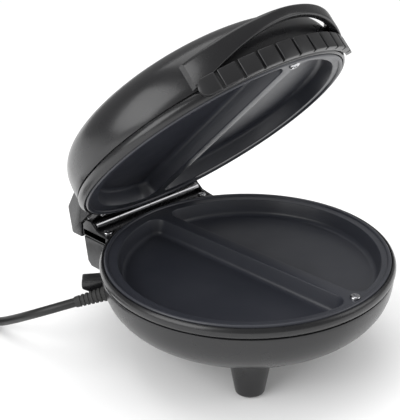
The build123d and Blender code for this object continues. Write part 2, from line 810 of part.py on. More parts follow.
with BuildPart() as lid_housing:
    add(bowl(body_radius, dome_height, dome_exponent, lid_parting_z, 1))
    with BuildSketch(Plane.YZ.offset(-lid_box_half_width)):
        with BuildLine():
            Polyline(*lid_box_outline, close=True)
        make_face()
    extrude(amount=2 * lid_box_half_width)
    add(lid_cavity.part, mode=Mode.SUBTRACT)
    # slot for the hinge leaf, and its screws
    with BuildSketch(Plane.XY.offset(lid_parting_z)):
        with Locations((0, leaf_rear_y - leaf_thickness / 2 + fit_clearance / 2)):
            Rectangle(2 * (barrel_end + fit_clearance), leaf_thickness + fit_clearance)
    extrude(amount=leaf_height, mode=Mode.SUBTRACT)
    with BuildSketch(Plane.XZ.offset(-leaf_front_y)):
        with Locations([(x, hinge_z + leaf_screw_rise) for x in leaf_screw_x]):
            Circle(screw_shank_radius + thread_clearance)
    extrude(amount=rib_thickness, mode=Mode.SUBTRACT)
    lid_screw_places = [(-lid_screw_x, screw_y), (lid_screw_x, screw_y), (0, plate_screw_y)]
    with Locations([(*place, lid_parting_z) for place in lid_screw_places]):
        Cylinder(
            screw_shank_radius + thread_clearance,
            screw_length,
            align=(Align.CENTER, Align.CENTER, Align.MIN),
            mode=Mode.SUBTRACT,
        )
    with Locations((-lens_x, lens_y, lid_parting_z), (lens_x, lens_y, lid_parting_z)):
        Cylinder(
            lens_radius - housing_wall / 4,
            2 * dome_height,
            align=(Align.CENTER, Align.CENTER, Align.MIN),
            mode=Mode.SUBTRACT,
        )
lid_housing.part.label = "lid_housing"
export_in_frame(raised(lid_housing.part), "lid_housing")

# ---------------------------------------------------------------- lid bezel
with BuildPart() as lid_bezel:
    add(turned_over(bezel_ring()))
    block_bottom = hinge_z + relief_radius
    with BuildSketch(Plane.XY.offset(block_bottom)):
        Rectangle(2 * barrel_end, leaf_front_y - fit_clearance, align=(Align.CENTER, Align.MIN))
        Rectangle(2 * box_half_width, box_front_y, align=(Align.CENTER, Align.MIN), mode=Mode.SUBTRACT)
        Circle(body_radius - bezel_bulge, mode=Mode.SUBTRACT)
    extrude(amount=lid_parting_z - block_bottom)
    with BuildSketch(Plane.YZ.offset(-box_half_width)):
        with Locations((hinge_y, hinge_z)):
            Circle(relief_radius)
    extrude(amount=2 * box_half_width, mode=Mode.SUBTRACT)
    with BuildSketch(Plane.XY.offset(block_bottom)):
        with Locations((-lid_screw_x, screw_y), (lid_screw_x, screw_y)):
            Circle(screw_shank_radius + screw_hole_clearance)
    extrude(amount=bezel_height, mode=Mode.SUBTRACT)
    # seats for the screws' heads in the ring's side
    with BuildSketch(Plane.XY.offset(lid_rim_z)):
        with Locations((-lid_screw_x, screw_y), (lid_screw_x, screw_y)):
            Circle(screw_head_radius + screw_hole_clearance)
    extrude(amount=block_bottom - lid_rim_z, mode=Mode.SUBTRACT)
lid_bezel.part.label = "lid_bezel"
export_in_frame(raised(lid_bezel.part), "lid_bezel")

# ---------------------------------------------------------------- upper plate and its heater
with BuildPart() as upper_cooking_plate:
    add(turned_over(lower_cooking_plate.part))
upper_cooking_plate.part.label = "upper_cooking_plate"
export_in_frame(raised(upper_cooking_plate.part), "upper_cooking_plate")

with BuildPart() as upper_heating_element:
    add(turned_over(lower_heating_element.part))
upper_heating_element.part.label = "upper_heating_element"
export_in_frame(raised(upper_heating_element.part), "upper_heating_element")

with BuildPart() as upper_element_strap:
    add(turned_over(lower_element_strap.part))
upper_element_strap.part.label = "upper_element_strap"
export_in_frame(raised(upper_element_strap.part), "upper_element_strap")

with BuildPart() as upper_heat_reflector:
    add(turned_over(reflector([])))
upper_heat_reflector.part.label = "upper_heat_reflector"
export_in_frame(raised(upper_heat_reflector.part), "upper_heat_reflector")

# ---------------------------------------------------------------- handle and grip
handle_root_x = handle_root_radius * sin(radians(handle_span))
handle_root_y = -handle_root_radius * cos(radians(handle_span))
arch_x = handle_root_x - handle_wing
grip_inner = bezel_outer + grip_clearance
grip_outer = body_radius + grip_stand + grip_backing
grip_width = 2 * grip_outer * sin(radians(grip_span))
dome_envelope = bowl(
    body_radius + grip_clearance, dome_height + grip_clearance, dome_exponent, lid_parting_z, 1
)
with BuildPart() as lid_handle:
    with BuildSketch(Plane.XY.offset(lid_rim_z)):
        with BuildLine():
            ThreePointArc(
                (-handle_root_x, handle_root_y),
                (0, -handle_reach),
                (handle_root_x, handle_root_y),
            )
            Polyline(
                (handle_root_x, handle_root_y),
                (handle_root_x, -box_front_y),
                (-handle_root_x, -box_front_y),
                (-handle_root_x, handle_root_y),
            )
        make_face()
    extrude(amount=dome_height)
    with BuildSketch(Plane.XZ):
        with BuildLine():
            top = ThreePointArc(
                (-handle_root_x, lid_rim_z + handle_high_root),
                (0, lid_rim_z + handle_high_middle),
                (handle_root_x, lid_rim_z + handle_high_root),
            )
            arch = ThreePointArc(
                (arch_x, lid_rim_z + handle_low_root),
                (0, lid_rim_z + handle_low_middle),
                (-arch_x, lid_rim_z + handle_low_root),
            )
            Polyline(top @ 1, (handle_root_x, lid_rim_z + handle_low_root), arch @ 0)
            Polyline(arch @ 1, (-handle_root_x, lid_rim_z + handle_low_root), top @ 0)
        make_face()
    extrude(amount=2 * body_radius, mode=Mode.INTERSECT)
    fillet(lid_handle.edges().filter_by(GeomType.LINE, reverse=True).group_by(Axis.Y)[0], handle_fillet)
    # finger hollow behind the band
    with BuildSketch(Plane.XY.offset(lid_rim_z)):
        with BuildLine():
            ThreePointArc(
                (-arch_x, handle_root_y + handle_wing),
                (0, handle_thickness - handle_reach),
                (arch_x, handle_root_y + handle_wing),
            )
            Line((arch_x, handle_root_y + handle_wing), (-arch_x, handle_root_y + handle_wing))
        make_face()
    extrude(amount=handle_high_root, mode=Mode.SUBTRACT)
    add(dome_envelope, mode=Mode.SUBTRACT)
    # room for the rounded ends of the grip
    with BuildSketch(Plane.XZ):
        with Locations((0, lid_rim_z + grip_height / 2)):
            SlotOverall(grip_width + 2 * fit_clearance, grip_height + 2 * fit_clearance)
    extrude(amount=2 * body_radius, mode=Mode.SUBTRACT)
lid_handle.part.label = "lid_handle"
export_in_frame(raised(lid_handle.part), "lid_handle")

with BuildPart() as front_grip:
    with BuildSketch(Plane.XY.offset(lid_rim_z)):
        Circle(grip_outer)
        Circle(grip_inner, mode=Mode.SUBTRACT)
    extrude(amount=grip_height)
    with BuildSketch(Plane.XZ):
        with Locations((0, lid_rim_z + grip_height / 2)):
            SlotOverall(grip_width, grip_height)
    extrude(amount=2 * body_radius, mode=Mode.INTERSECT)
    block_angle = 2 * grip_span / grip_blocks
    with BuildSketch(Plane.XY.offset(lid_rim_z)):
        with PolarLocations(
            grip_inner + grip_backing,
            grip_blocks - 1,
            start_angle=block_angle - grip_span - 90,
            angular_range=2 * (grip_span - block_angle),
            endpoint=True,
        ):
            Rectangle(2 * grip_stand, grip_groove, align=(Align.MIN, Align.CENTER))
    extrude(amount=grip_height, mode=Mode.SUBTRACT)
front_grip.part.label = "front_grip"
export_in_frame(raised(front_grip.part), "front_grip")

# ---------------------------------------------------------------- indicator lights
with BuildPart() as lens:
    lens_seat_z = lid_parting_z + dome_height
    with Locations((0, 0, lens_seat_z - housing_wall)):
        Cylinder(
            lens_radius - housing_wall / 4 - thread_clearance,
            housing_wall + lens_proud,
            align=(Align.CENTER, Align.CENTER, Align.MIN),
        )
    fillet(lens.faces().sort_by(Axis.Z)[-1].edges(), lens_proud / 2)
with BuildPart() as power_lens:
    with Locations((-lens_x, lens_y, -lens_sink)):
        add(lens.part)
power_lens.part.label = "power_lens"
export_in_frame(raised(power_lens.part), "power_lens")

with BuildPart() as ready_lens:
    with Locations((lens_x, lens_y, -lens_sink)):
        add(lens.part)
ready_lens.part.label = "ready_lens"
export_in_frame(raised(ready_lens.part), "ready_lens")

with BuildPart() as indicator_lamps:
    lamp_top_z = lens_seat_z - housing_wall - lens_sink - fit_clearance
    with Locations((-lens_x, lens_y, lamp_top_z), (lens_x, lens_y, lamp_top_z)):
        Cylinder(lamp_radius, lamp_length, align=(Align.CENTER, Align.CENTER, Align.MAX))
indicator_lamps.part.label = "indicator_lamps"
export_in_frame(raised(indicator_lamps.part), "indicator_lamps")

# ---------------------------------------------------------------- screws
long_screw = pan_screw(screw_length)
short_screw = pan_screw(short_screw_length)
leaf_screw = pan_screw(leaf_thickness + rib_thickness)
with BuildPart() as deck_screws:
    with Locations((-screw_x, screw_y, deck_z), (screw_x, screw_y, deck_z)):
        add(long_screw)
deck_screws.part.label = "deck_screws"
export_in_frame(deck_screws.part, "deck_screws")

with BuildPart() as lower_plate_screw:
    with Locations((0, plate_screw_y, flange_z)):
        add(long_screw)
lower_plate_screw.part.label = "lower_plate_screw"
export_in_frame(lower_plate_screw.part, "lower_plate_screw")

with BuildPart() as upper_plate_screw:
    add(turned_over(lower_plate_screw.part))
upper_plate_screw.part.label = "upper_plate_screw"
export_in_frame(raised(upper_plate_screw.part), "upper_plate_screw")

with BuildPart() as lid_bezel_screws:
    for x in (-lid_screw_x, lid_screw_x):
        with Locations(Plane(origin=(x, screw_y, block_bottom), x_dir=(1, 0, 0), z_dir=(0, 0, -1))):
            add(long_screw)
lid_bezel_screws.part.label = "lid_bezel_screws"
export_in_frame(raised(lid_bezel_screws.part), "lid_bezel_screws")

with BuildPart() as lower_strap_screw:
    with Locations(Plane(origin=(0, 0, reflector_z), x_dir=(1, 0, 0), z_dir=(0, 0, -1))):
        add(short_screw)
lower_strap_screw.part.label = "lower_strap_screw"
export_in_frame(lower_strap_screw.part, "lower_strap_screw")

with BuildPart() as upper_strap_screw:
    add(turned_over(lower_strap_screw.part))
upper_strap_screw.part.label = "upper_strap_screw"
export_in_frame(raised(upper_strap_screw.part), "upper_strap_screw")

with BuildPart() as base_leaf_screws:
    for x in leaf_screw_x:
        with Locations(Plane(origin=(x, leaf_front_y, hinge_z - leaf_screw_rise), z_dir=(0, -1, 0))):
            add(leaf_screw)
base_leaf_screws.part.label = "base_leaf_screws"
export_in_frame(base_leaf_screws.part, "base_leaf_screws")

with BuildPart() as lid_leaf_screws:
    for x in leaf_screw_x:
        with Locations(Plane(origin=(x, leaf_rear_y, hinge_z + leaf_screw_rise), z_dir=(0, 1, 0))):
            add(leaf_screw)
lid_leaf_screws.part.label = "lid_leaf_screws"
export_in_frame(raised(lid_leaf_screws.part), "lid_leaf_screws")

# ---------------------------------------------------------------- cord
relief_tip = exit_point + exit_direction * relief_length
with BuildPart() as strain_relief:
    with BuildSketch(exit_bore):
        Circle(relief_root_radius)
    with BuildSketch(Plane(origin=relief_tip, z_dir=exit_direction)):
        Circle(cord_radius + relief_lip)
    loft()
    with BuildSketch(exit_bore):
        Circle(relief_collar_radius)
    extrude(amount=-collar_length)
strain_relief.part.label = "strain_relief"
export_in_frame(strain_relief.part, "strain_relief")

heading = Vector(cos(radians(coil_heading)), sin(radians(coil_heading)), 0)
coil_entry = Vector(*coil_start, cord_radius)
lead_in = coil_entry - heading * (cord_diameter + coil_lead_in)
route = [
    tuple(relief_tip),
    tuple(relief_tip + exit_direction * cord_first_run),
    *cord_route_bends,
    tuple(lead_in),
    tuple(coil_entry - heading * cord_diameter),
]
route_radii = bend_radii(route)
print("cord bend radii", [round(radius, 1) for radius in route_radii])
with BuildPart() as mains_cord:
    add(tube(route, route_radii, cord_radius))
mains_cord.part.label = "mains_cord"
export_in_frame(mains_cord.part, "mains_cord")


def quarter(start, forward, inward, radius):
    """Middle, end and last direction of a quarter turn that leaves a point forwards and bends inwards."""
    middle = start + forward * (radius * sin(pi / 4)) + inward * (radius * (1 - cos(pi / 4)))
    return middle, start + (forward + inward) * radius, inward


# two layers: wound inwards on the table, up a layer in half a turn, and outwards again on top
up = Vector(0, 0, 1)
inner_radius = coil_radius - coil_quarters * coil_pitch / 4
climb = asin(coil_layer / (2 * inner_radius))
arcs = []
place, forward = coil_entry, heading
for index in range(coil_quarters):
    sideways = up.cross(forward)
    middle, end, ahead = quarter(place, forward, sideways, coil_radius - index * coil_pitch / 4)
    arcs.append((place, middle, end))
    place, forward = end, ahead
rising = up.cross(forward) * cos(climb) + up * sin(climb)
for inward in (rising, forward * -1):
    middle, end, ahead = quarter(place, forward, inward, inner_radius)
    arcs.append((place, middle, end))
    place, forward = end, ahead
for index in range(coil_quarters):
    sideways = up.cross(forward)
    middle, end, ahead = quarter(place, forward, sideways, inner_radius + (index + 1) * coil_pitch / 4)
    arcs.append((place, middle, end))
    place, forward = end, ahead
coil_exit = place + forward * cord_diameter

with BuildPart() as cord_coil:
    with BuildLine() as coil_path:
        Line(coil_entry - heading * cord_diameter, coil_entry)
        for first, middle, last in arcs:
            ThreePointArc(first, middle, last)
        Line(place, coil_exit)
    with BuildSketch(Plane(origin=coil_path.wire() @ 0, z_dir=heading)):
        Circle(cord_radius)
    sweep()
cord_coil.part.label = "cord_coil"
export_in_frame(cord_coil.part, "cord_coil")

# the coil's least gap to itself, on points along its centreline
coil_wire = coil_path.wire()
coil_steps = 360
coil_points = [coil_wire @ (step / coil_steps) for step in range(coil_steps + 1)]
apart = int(coil_steps * 3 * cord_diameter / coil_wire.length)
coil_gap = min(
    (coil_points[near] - coil_points[far]).length - cord_diameter
    for near in range(coil_steps + 1)
    for far in range(near + apart, coil_steps + 1)
)
print("coil least gap", round(coil_gap, 2), "mm")
for part in (mains_cord.part, cord_coil.part):
    print(part.label, "volume over section", round(part.volume / (pi * cord_radius**2), 1), "mm")

# ---------------------------------------------------------------- plug
plug_start = coil_exit + forward * plug_sleeve_length
sleeve_plane = Plane(origin=coil_exit, z_dir=forward)
with BuildPart() as plug_body:
    with BuildSketch(sleeve_plane):
        Circle(plug_sleeve_root)
    with BuildSketch(sleeve_plane.offset(plug_sleeve_length)):
        Circle(plug_sleeve_end)
    loft()
    for distance, width, height in (
        (0, plug_nose, plug_nose),
        (plug_length / 3, plug_width, plug_height),
        (plug_length, plug_width, plug_height),
    ):
        place = plug_start + forward * distance
        with BuildSketch(Plane(origin=place, x_dir=up.cross(forward), z_dir=forward)):
            RectangleRounded(width, height, plug_corner)
    loft()
    fillet(plug_body.faces().sort_by(Axis(coil_exit, forward))[-1].edges(), plug_edge)
    face_plane = Plane(
        origin=plug_start + forward * plug_length,
        x_dir=up.cross(forward),
        z_dir=forward,
    )
    with BuildSketch(face_plane):
        with Locations((-blade_spacing / 2, 0), (blade_spacing / 2, 0)):
            Rectangle(blade_thickness, blade_width)
    extrude(amount=-blade_seat, mode=Mode.SUBTRACT)
plug_body.part.label = "plug_body"
export_in_frame(plug_body.part, "plug_body")

with BuildPart() as plug_blades:
    with BuildSketch(face_plane.offset(-blade_seat)):
        with Locations((-blade_spacing / 2, 0), (blade_spacing / 2, 0)):
            Rectangle(blade_thickness, blade_width)
    extrude(amount=blade_seat + blade_length)
plug_blades.part.label = "plug_blades"
export_in_frame(plug_blades.part, "plug_blades")
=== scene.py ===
"""Looks of an electric omelette maker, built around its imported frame.

Every sub-assembly is a class that holds its sizes in millimetres, builds its meshes in the
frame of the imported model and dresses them.  Lid pieces are made closed and raised to the
resting angle before they ride on the lid.
"""

import json
import logging
import math
from dataclasses import dataclass
from enum import Enum
from typing import Callable, Sequence

import bmesh
import bpy
from mathutils import Matrix, Vector
from mathutils.geometry import delaunay_2d_cdt


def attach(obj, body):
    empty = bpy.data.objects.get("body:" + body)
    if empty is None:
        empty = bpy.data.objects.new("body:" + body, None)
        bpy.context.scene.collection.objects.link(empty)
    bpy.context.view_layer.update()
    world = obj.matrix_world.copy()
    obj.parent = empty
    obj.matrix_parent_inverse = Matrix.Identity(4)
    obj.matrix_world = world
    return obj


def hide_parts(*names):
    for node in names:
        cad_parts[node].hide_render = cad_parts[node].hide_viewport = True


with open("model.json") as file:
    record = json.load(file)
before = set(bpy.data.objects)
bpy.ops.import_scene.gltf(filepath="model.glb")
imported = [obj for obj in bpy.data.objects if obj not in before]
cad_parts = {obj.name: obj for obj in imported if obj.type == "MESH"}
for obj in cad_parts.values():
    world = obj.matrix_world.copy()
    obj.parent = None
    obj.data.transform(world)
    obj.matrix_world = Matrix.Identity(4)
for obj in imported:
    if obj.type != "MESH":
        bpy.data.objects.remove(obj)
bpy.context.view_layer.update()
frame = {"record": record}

MM = 0.001
FRAME_SHIFT = Vector((0.0, -15.6, 0.0)) * MM  # from the bowl's axis to the frame's origin
Point2 = tuple[float, float]
Point3 = tuple[float, float, float]
Section = list[Point3]
Skin = tuple[list[Point3], list[list[int]]]
Place = Callable[[float, float, float], Point3]
Piece = bpy.types.Object
Tree = bpy.types.NodeTree
Socket = bpy.types.NodeSocket
ROUND_STEPS = 224  # facets round the bowl's axis
PLATE_STEPS = 192  # facets round a cooking plate
RIM_SOFTENING = ((0.4, 0.0), (0.12, 0.1), (0.0, 0.35))  # inwards and along, at a shell's rim

log = logging.getLogger("omelette_maker")


class Body(Enum):
    """The bodies that pieces ride on."""

    BASE = "base"
    LID = "lid"


class Side(Enum):
    """The two sides of the machine, as the sign of X."""

    LEFT = -1
    RIGHT = 1


# ------------------------------------------------------------------ mesh helpers
def add_object(name: str, data: bpy.types.ID) -> Piece:
    """Makes an object from its data and puts it in the scene."""
    made = bpy.data.objects.new(name, data)
    bpy.context.scene.collection.objects.link(made)
    return made


def mesh_piece(
    name: str,
    vertices: Sequence[Sequence[float]],
    faces: Sequence[Sequence[int]],
    crease: float = 28.0,
) -> Piece:
    """Makes a clean, outward-facing mesh object from points in millimetres.

    Args:
        name: The object's name.
        vertices: Points in millimetres.
        faces: Corner indices of each face.
        crease: Edges that turn by more than this many degrees stay sharp.

    Returns:
        The new object, at the origin.
    """
    mesh = bpy.data.meshes.new(name)
    mesh.from_pydata([Vector(v) * MM for v in vertices], [], [list(f) for f in faces])
    piece = add_object(name, mesh)
    tidy_mesh(piece, crease)
    return piece


def tidy_mesh(piece: Piece, crease: float = 28.0) -> None:
    """Merges doubles, turns the faces outwards and shades the piece smooth up to its creases."""
    bm = bmesh.new()
    bm.from_mesh(piece.data)
    bmesh.ops.remove_doubles(bm, verts=bm.verts, dist=1e-6)
    bmesh.ops.dissolve_degenerate(bm, edges=bm.edges, dist=1e-7)
    bmesh.ops.recalc_face_normals(bm, faces=bm.faces)
    for face in bm.faces:
        face.smooth = True
    bm.to_mesh(piece.data)
    bm.free()
    piece.data.set_sharp_from_angle(angle=math.radians(crease))
    piece.data.update()


def revolved(name: str, profile: Sequence[Point2], steps: int = ROUND_STEPS) -> Piece:
    """Turns a closed profile of (radius, height) points about the bowl's axis.

    Args:
        name: The object's name.
        profile: Closed outline; points on the axis have radius 0.
        steps: Facets round the axis.

    Returns:
        The new object.
    """
    vertices: list[Point3] = []
    faces: list[list[int]] = []
    count = len(profile)
    for step in range(steps):
        turn = 2 * math.pi * step / steps
        vertices.extend((r * math.cos(turn), r * math.sin(turn), z) for r, z in profile)
    for step in range(steps):
        here, there = step * count, (step + 1) % steps * count
        for index in range(count):
            after = (index + 1) % count
            if profile[index][0] < 1e-6 and profile[after][0] < 1e-6:
                continue
            faces.append([here + index, there + index, there + after, here + after])
    return mesh_piece(name, vertices, faces)


def rounded(points: Sequence[Point2], radii: Sequence[float] | float, steps: int = 5) -> list[Point2]:
    """Rounds the corners of a closed outline.

    Args:
        points: The outline's corners.
        radii: One radius for all corners, or one for each.
        steps: Segments in each corner's arc.

    Returns:
        The rounded outline.
    """
    result: list[Point2] = []
    count = len(points)
    for index, corner in enumerate(points):
        radius = radii if isinstance(radii, (int, float)) else radii[index]
        here = Vector(corner)
        before = Vector(points[index - 1]) - here
        after = Vector(points[(index + 1) % count]) - here
        angle = before.angle(after) if before.length > 1e-9 and after.length > 1e-9 else math.pi
        if radius <= 0 or abs(angle - math.pi) < 1e-3:
            result.append(tuple(here))
            continue
        cut = min(radius / math.tan(angle / 2), 0.49 * before.length, 0.49 * after.length)
        true_radius = cut * math.tan(angle / 2)
        bisector = (before.normalized() + after.normalized()).normalized()
        middle = here + bisector * (true_radius / math.sin(angle / 2))
        first = here + before.normalized() * cut - middle
        last = here + after.normalized() * cut - middle
        sweep = first.angle_signed(last)
        for step in range(steps + 1):
            spin = Matrix.Rotation(-sweep * step / steps, 2)
            result.append(tuple(middle + spin @ first))
    return result


def skin(sections: Sequence[Section]) -> Skin:
    """Points and faces of a skin through closed sections of equal length, open at its ends."""
    count = len(sections[0])
    points = [point for section in sections for point in section]
    faces: list[list[int]] = []
    for level in range(len(sections) - 1):
        here, there = level * count, (level + 1) * count
        for index in range(count):
            after = (index + 1) % count
            faces.append([here + index, here + after, there + after, there + index])
    return points, faces


def lofted(name: str, sections: Sequence[Section], crease: float = 28.0) -> Piece:
    """Joins closed sections of equal length into one closed skin with capped ends."""
    vertices, faces = skin(sections)
    count = len(sections[0])
    faces.append(list(range(count)))
    faces.append(list(range(len(vertices) - count, len(vertices))))
    return mesh_piece(name, vertices, faces, crease)


def extruded(
    name: str,
    outline: Sequence[Point2],
    place: Place,
    low: float,
    high: float,
    bevel: float = 0.6,
    steps: int = 3,
    cuts: int = 0,
) -> Piece:
    """Extrudes an outline and rounds the edges of both end faces.

    Args:
        name: The object's name.
        outline: Closed outline in its own plane.
        place: Maps outline coordinates and a height to a point.
        low: Height of one end.
        high: Height of the other end.
        bevel: Radius of the rounded ends.
        steps: Segments in each rounded end.
        cuts: Sections between the ends, where the map bends the sides.

    Returns:
        The new object.
    """
    ends: list[tuple[float, list[Point2]]] = []
    for step in range(steps + 1):
        turn = math.pi / 2 * step / steps
        ends.append((bevel * (1 - math.cos(turn)), inset_outline(outline, bevel * (1 - math.sin(turn)))))
    levels = [(low + rise, ring) for rise, ring in ends]
    span = high - low - 2 * bevel
    levels.extend((low + bevel + span * step / (cuts + 1), outline) for step in range(1, cuts + 1))
    levels.extend((high - rise, ring) for rise, ring in reversed(ends))
    return lofted(name, [[place(a, b, height) for a, b in ring] for height, ring in levels])


def inset_outline(outline: Sequence[Point2], amount: float) -> list[Point2]:
    """Moves each side of a closed outline inwards by an amount."""
    if abs(amount) < 1e-9:
        return list(outline)
    area = sum(a[0] * b[1] - b[0] * a[1] for a, b in zip(outline, list(outline[1:]) + [outline[0]]))
    sign = 1.0 if area > 0 else -1.0
    result: list[Point2] = []
    count = len(outline)
    for index in range(count):
        here = Vector(outline[index])
        before = here - Vector(outline[index - 1])
        after = Vector(outline[(index + 1) % count]) - here
        if before.length < 1e-9 or after.length < 1e-9:
            result.append(tuple(here))
            continue
        left = Vector((-before.y, before.x)).normalized()
        right = Vector((-after.y, after.x)).normalized()
        normal = left + right
        scale = 1.0 / max(0.35, normal.length / 2)
        result.append(tuple(here + normal.normalized() * sign * amount * scale))
    return result


def joined(name: str, pieces: Sequence[Piece], crease: float = 28.0) -> Piece:
    """Puts several meshes into one object and removes the separate ones."""
    bm = bmesh.new()
    for piece in pieces:
        bm.from_mesh(piece.data)
    mesh = bpy.data.meshes.new(name)
    bm.to_mesh(mesh)
    bm.free()
    for piece in pieces:
        bpy.data.objects.remove(piece)
    result = add_object(name, mesh)
    for face in mesh.polygons:
        face.use_smooth = True
    mesh.set_sharp_from_angle(angle=math.radians(crease))
    return result


# ------------------------------------------------------------------ finishes
def node_material(name: str) -> tuple[bpy.types.Material, Tree, bpy.types.Node]:
    """A new node material with its tree and its principled shader."""
    material = bpy.data.materials.new(name)
    material.use_nodes = True
    tree = material.node_tree
    return material, tree, tree.nodes["Principled BSDF"]


def object_noise(
    tree: Tree, scale: float, detail: float, stretch: Point3 = (1.0, 1.0, 1.0)
) -> Socket:
    """Noise on the piece's own coordinates.

    Args:
        tree: The material's node tree.
        scale: Features for each metre.
        detail: Octaves of noise.
        stretch: Scale of the pattern along each axis.

    Returns:
        The noise's factor.
    """
    place = tree.nodes.new("ShaderNodeTexCoord")
    mapping = tree.nodes.new("ShaderNodeMapping")
    mapping.inputs["Scale"].default_value = stretch
    noise = tree.nodes.new("ShaderNodeTexNoise")
    noise.inputs["Scale"].default_value = scale
    noise.inputs["Detail"].default_value = detail
    tree.links.new(place.outputs["Object"], mapping.inputs["Vector"])
    tree.links.new(mapping.outputs["Vector"], noise.inputs["Vector"])
    return noise.outputs["Fac"]


def spread(
    tree: Tree, factor: Socket, low: float, high: float
) -> Socket:
    """Maps a factor's middle range to a range of values."""
    node = tree.nodes.new("ShaderNodeMapRange")
    node.inputs["From Min"].default_value = 0.3
    node.inputs["From Max"].default_value = 0.7
    node.inputs["To Min"].default_value = low
    node.inputs["To Max"].default_value = high
    tree.links.new(factor, node.inputs["Value"])
    return node.outputs["Result"]


def colour_mix(tree: Tree, factor: Socket, low: Point3 | Socket, high: Point3) -> Socket:
    """Mixes a colour, which may be a socket, with a second colour by a factor."""
    mix = tree.nodes.new("ShaderNodeMix")
    mix.data_type = "RGBA"
    mix.inputs["B"].default_value = (*high, 1.0)
    if isinstance(low, Socket):
        tree.links.new(low, mix.inputs["A"])
    else:
        mix.inputs["A"].default_value = (*low, 1.0)
    tree.links.new(factor, mix.inputs["Factor"])
    return mix.outputs["Result"]


@dataclass(frozen=True)
class Finish:
    """A surface finish with its colour variation, roughness variation, grain and painted highlight along
    convex edges.

    Args:
        name: The material's name.
        colour: Main colour, linear.
        shade: Second colour that the main one drifts to.
        roughness: Lowest and highest roughness.
        grain_scale: Grains for each metre.
        grain_depth: Height of the grain, in metres.
        cloud_scale: Patches of colour for each metre.
        metallic: 1 for bare metal.
        coat: Weight of the clear top layer.
        coat_roughness: Roughness of that layer.
        stretch: Stretch of the grain along each axis.
        edge: Lighter colour painted along convex edges as a highlight; None for no painted highlight.
        transmission: Share of light that passes.
    """

    name: str
    colour: Point3
    shade: Point3
    roughness: Point2
    grain_scale: float
    grain_depth: float
    cloud_scale: float = 18.0
    metallic: float = 0.0
    coat: float = 0.0
    coat_roughness: float = 0.1
    stretch: Point3 = (1.0, 1.0, 1.0)
    # lighter colour painted along convex edges as a highlight
    edge: Point3 | None = None
    transmission: float = 0.0

    def material(self) -> bpy.types.Material:
        """The finish as a node material, made once."""
        known = bpy.data.materials.get(self.name)
        if known is not None:
            return known
        material, tree, shader = node_material(self.name)
        clouds = spread(tree, object_noise(tree, self.cloud_scale, 3.0), 0.0, 1.0)
        colour = colour_mix(tree, clouds, self.colour, self.shade)
        # painted highlight: convex edges are lightened to the edge colour
        if self.edge is not None:
            colour = self.painted_edge_highlight(tree, colour)
        tree.links.new(colour, shader.inputs["Base Color"])
        grain = object_noise(tree, self.grain_scale, 2.0, self.stretch)
        rough = spread(tree, object_noise(tree, self.cloud_scale * 2.3, 4.0, self.stretch), *self.roughness)
        tree.links.new(rough, shader.inputs["Roughness"])
        bump = tree.nodes.new("ShaderNodeBump")
        bump.inputs["Distance"].default_value = self.grain_depth
        bump.inputs["Strength"].default_value = 1.0
        tree.links.new(grain, bump.inputs["Height"])
        tree.links.new(bump.outputs["Normal"], shader.inputs["Normal"])
        constants = {
            "Metallic": self.metallic,
            "Coat Weight": self.coat,
            "Coat Roughness": self.coat_roughness,
            "Transmission Weight": self.transmission,
        }
        for name, value in constants.items():
            shader.inputs[name].default_value = value
        return material

    def painted_edge_highlight(self, tree: Tree, colour: Socket) -> Socket:
        """Paints a highlight: lets the colour drift to the lighter edge colour along convex edges, broken up
        by noise.
        """
        geometry = tree.nodes.new("ShaderNodeNewGeometry")
        edges = tree.nodes.new("ShaderNodeMapRange")
        edges.inputs["From Min"].default_value = 0.53
        edges.inputs["From Max"].default_value = 0.62
        tree.links.new(geometry.outputs["Pointiness"], edges.inputs["Value"])
        broken = tree.nodes.new("ShaderNodeMath")
        broken.operation = "MULTIPLY"
        tree.links.new(edges.outputs["Result"], broken.inputs[0])
        tree.links.new(spread(tree, object_noise(tree, 260.0, 3.0), 0.15, 0.85), broken.inputs[1])
        return colour_mix(tree, broken.outputs["Value"], colour, self.edge)


SHELL = Finish(
    "charcoal_shell_plastic", (0.0075, 0.0075, 0.0085), (0.011, 0.011, 0.012), (0.24, 0.32), 2600.0, 0.000012,
    # edge: painted highlight colour along the shell's convex edges
    coat=0.15, coat_roughness=0.14, edge=(0.05, 0.05, 0.052),
)
GRIP = Finish(
    "charcoal_grip_plastic", (0.009, 0.009, 0.010), (0.013, 0.013, 0.014), (0.30, 0.38), 3200.0, 0.00002,
    # edge: painted highlight colour along the grip's convex edges
    coat=0.1, coat_roughness=0.2, edge=(0.06, 0.06, 0.062),
)
COATING = Finish(
    "slate_nonstick_coating", (0.024, 0.026, 0.034), (0.033, 0.035, 0.044), (0.32, 0.42), 5200.0, 0.000018,
    # edge: painted highlight colour along the plate's convex edges
    coat=0.15, coat_roughness=0.25, edge=(0.10, 0.10, 0.115),
)
STEEL = Finish(
    "polished_hinge_steel", (0.40, 0.40, 0.41), (0.33, 0.33, 0.34), (0.14, 0.24), 900.0, 0.000006,
    metallic=1.0, stretch=(0.08, 1.0, 1.0),
)
SCREW = Finish(
    "bright_screw_steel", (0.66, 0.66, 0.67), (0.52, 0.52, 0.54), (0.12, 0.24), 1500.0, 0.00001, metallic=1.0
)
DULL_STEEL = Finish(
    "dull_element_steel", (0.30, 0.28, 0.26), (0.22, 0.20, 0.19), (0.38, 0.55), 1400.0, 0.00002, metallic=1.0
)
BRIGHT_SHEET = Finish(
    "bright_aluminium_sheet", (0.75, 0.75, 0.76), (0.66, 0.66, 0.67), (0.22, 0.34), 1100.0, 0.00001,
    metallic=1.0,
)
RUBBER = Finish(
    "matt_foot_rubber", (0.022, 0.022, 0.022), (0.034, 0.034, 0.033), (0.62, 0.78), 3600.0, 0.00004
)
CORD_JACKET = Finish(
    "black_cord_jacket", (0.009, 0.009, 0.009), (0.015, 0.015, 0.015), (0.34, 0.46), 1800.0, 0.00003
)
PLUG = Finish(
    "black_plug_plastic", (0.011, 0.011, 0.011), (0.018, 0.018, 0.018), (0.30, 0.42), 2400.0, 0.00003
)
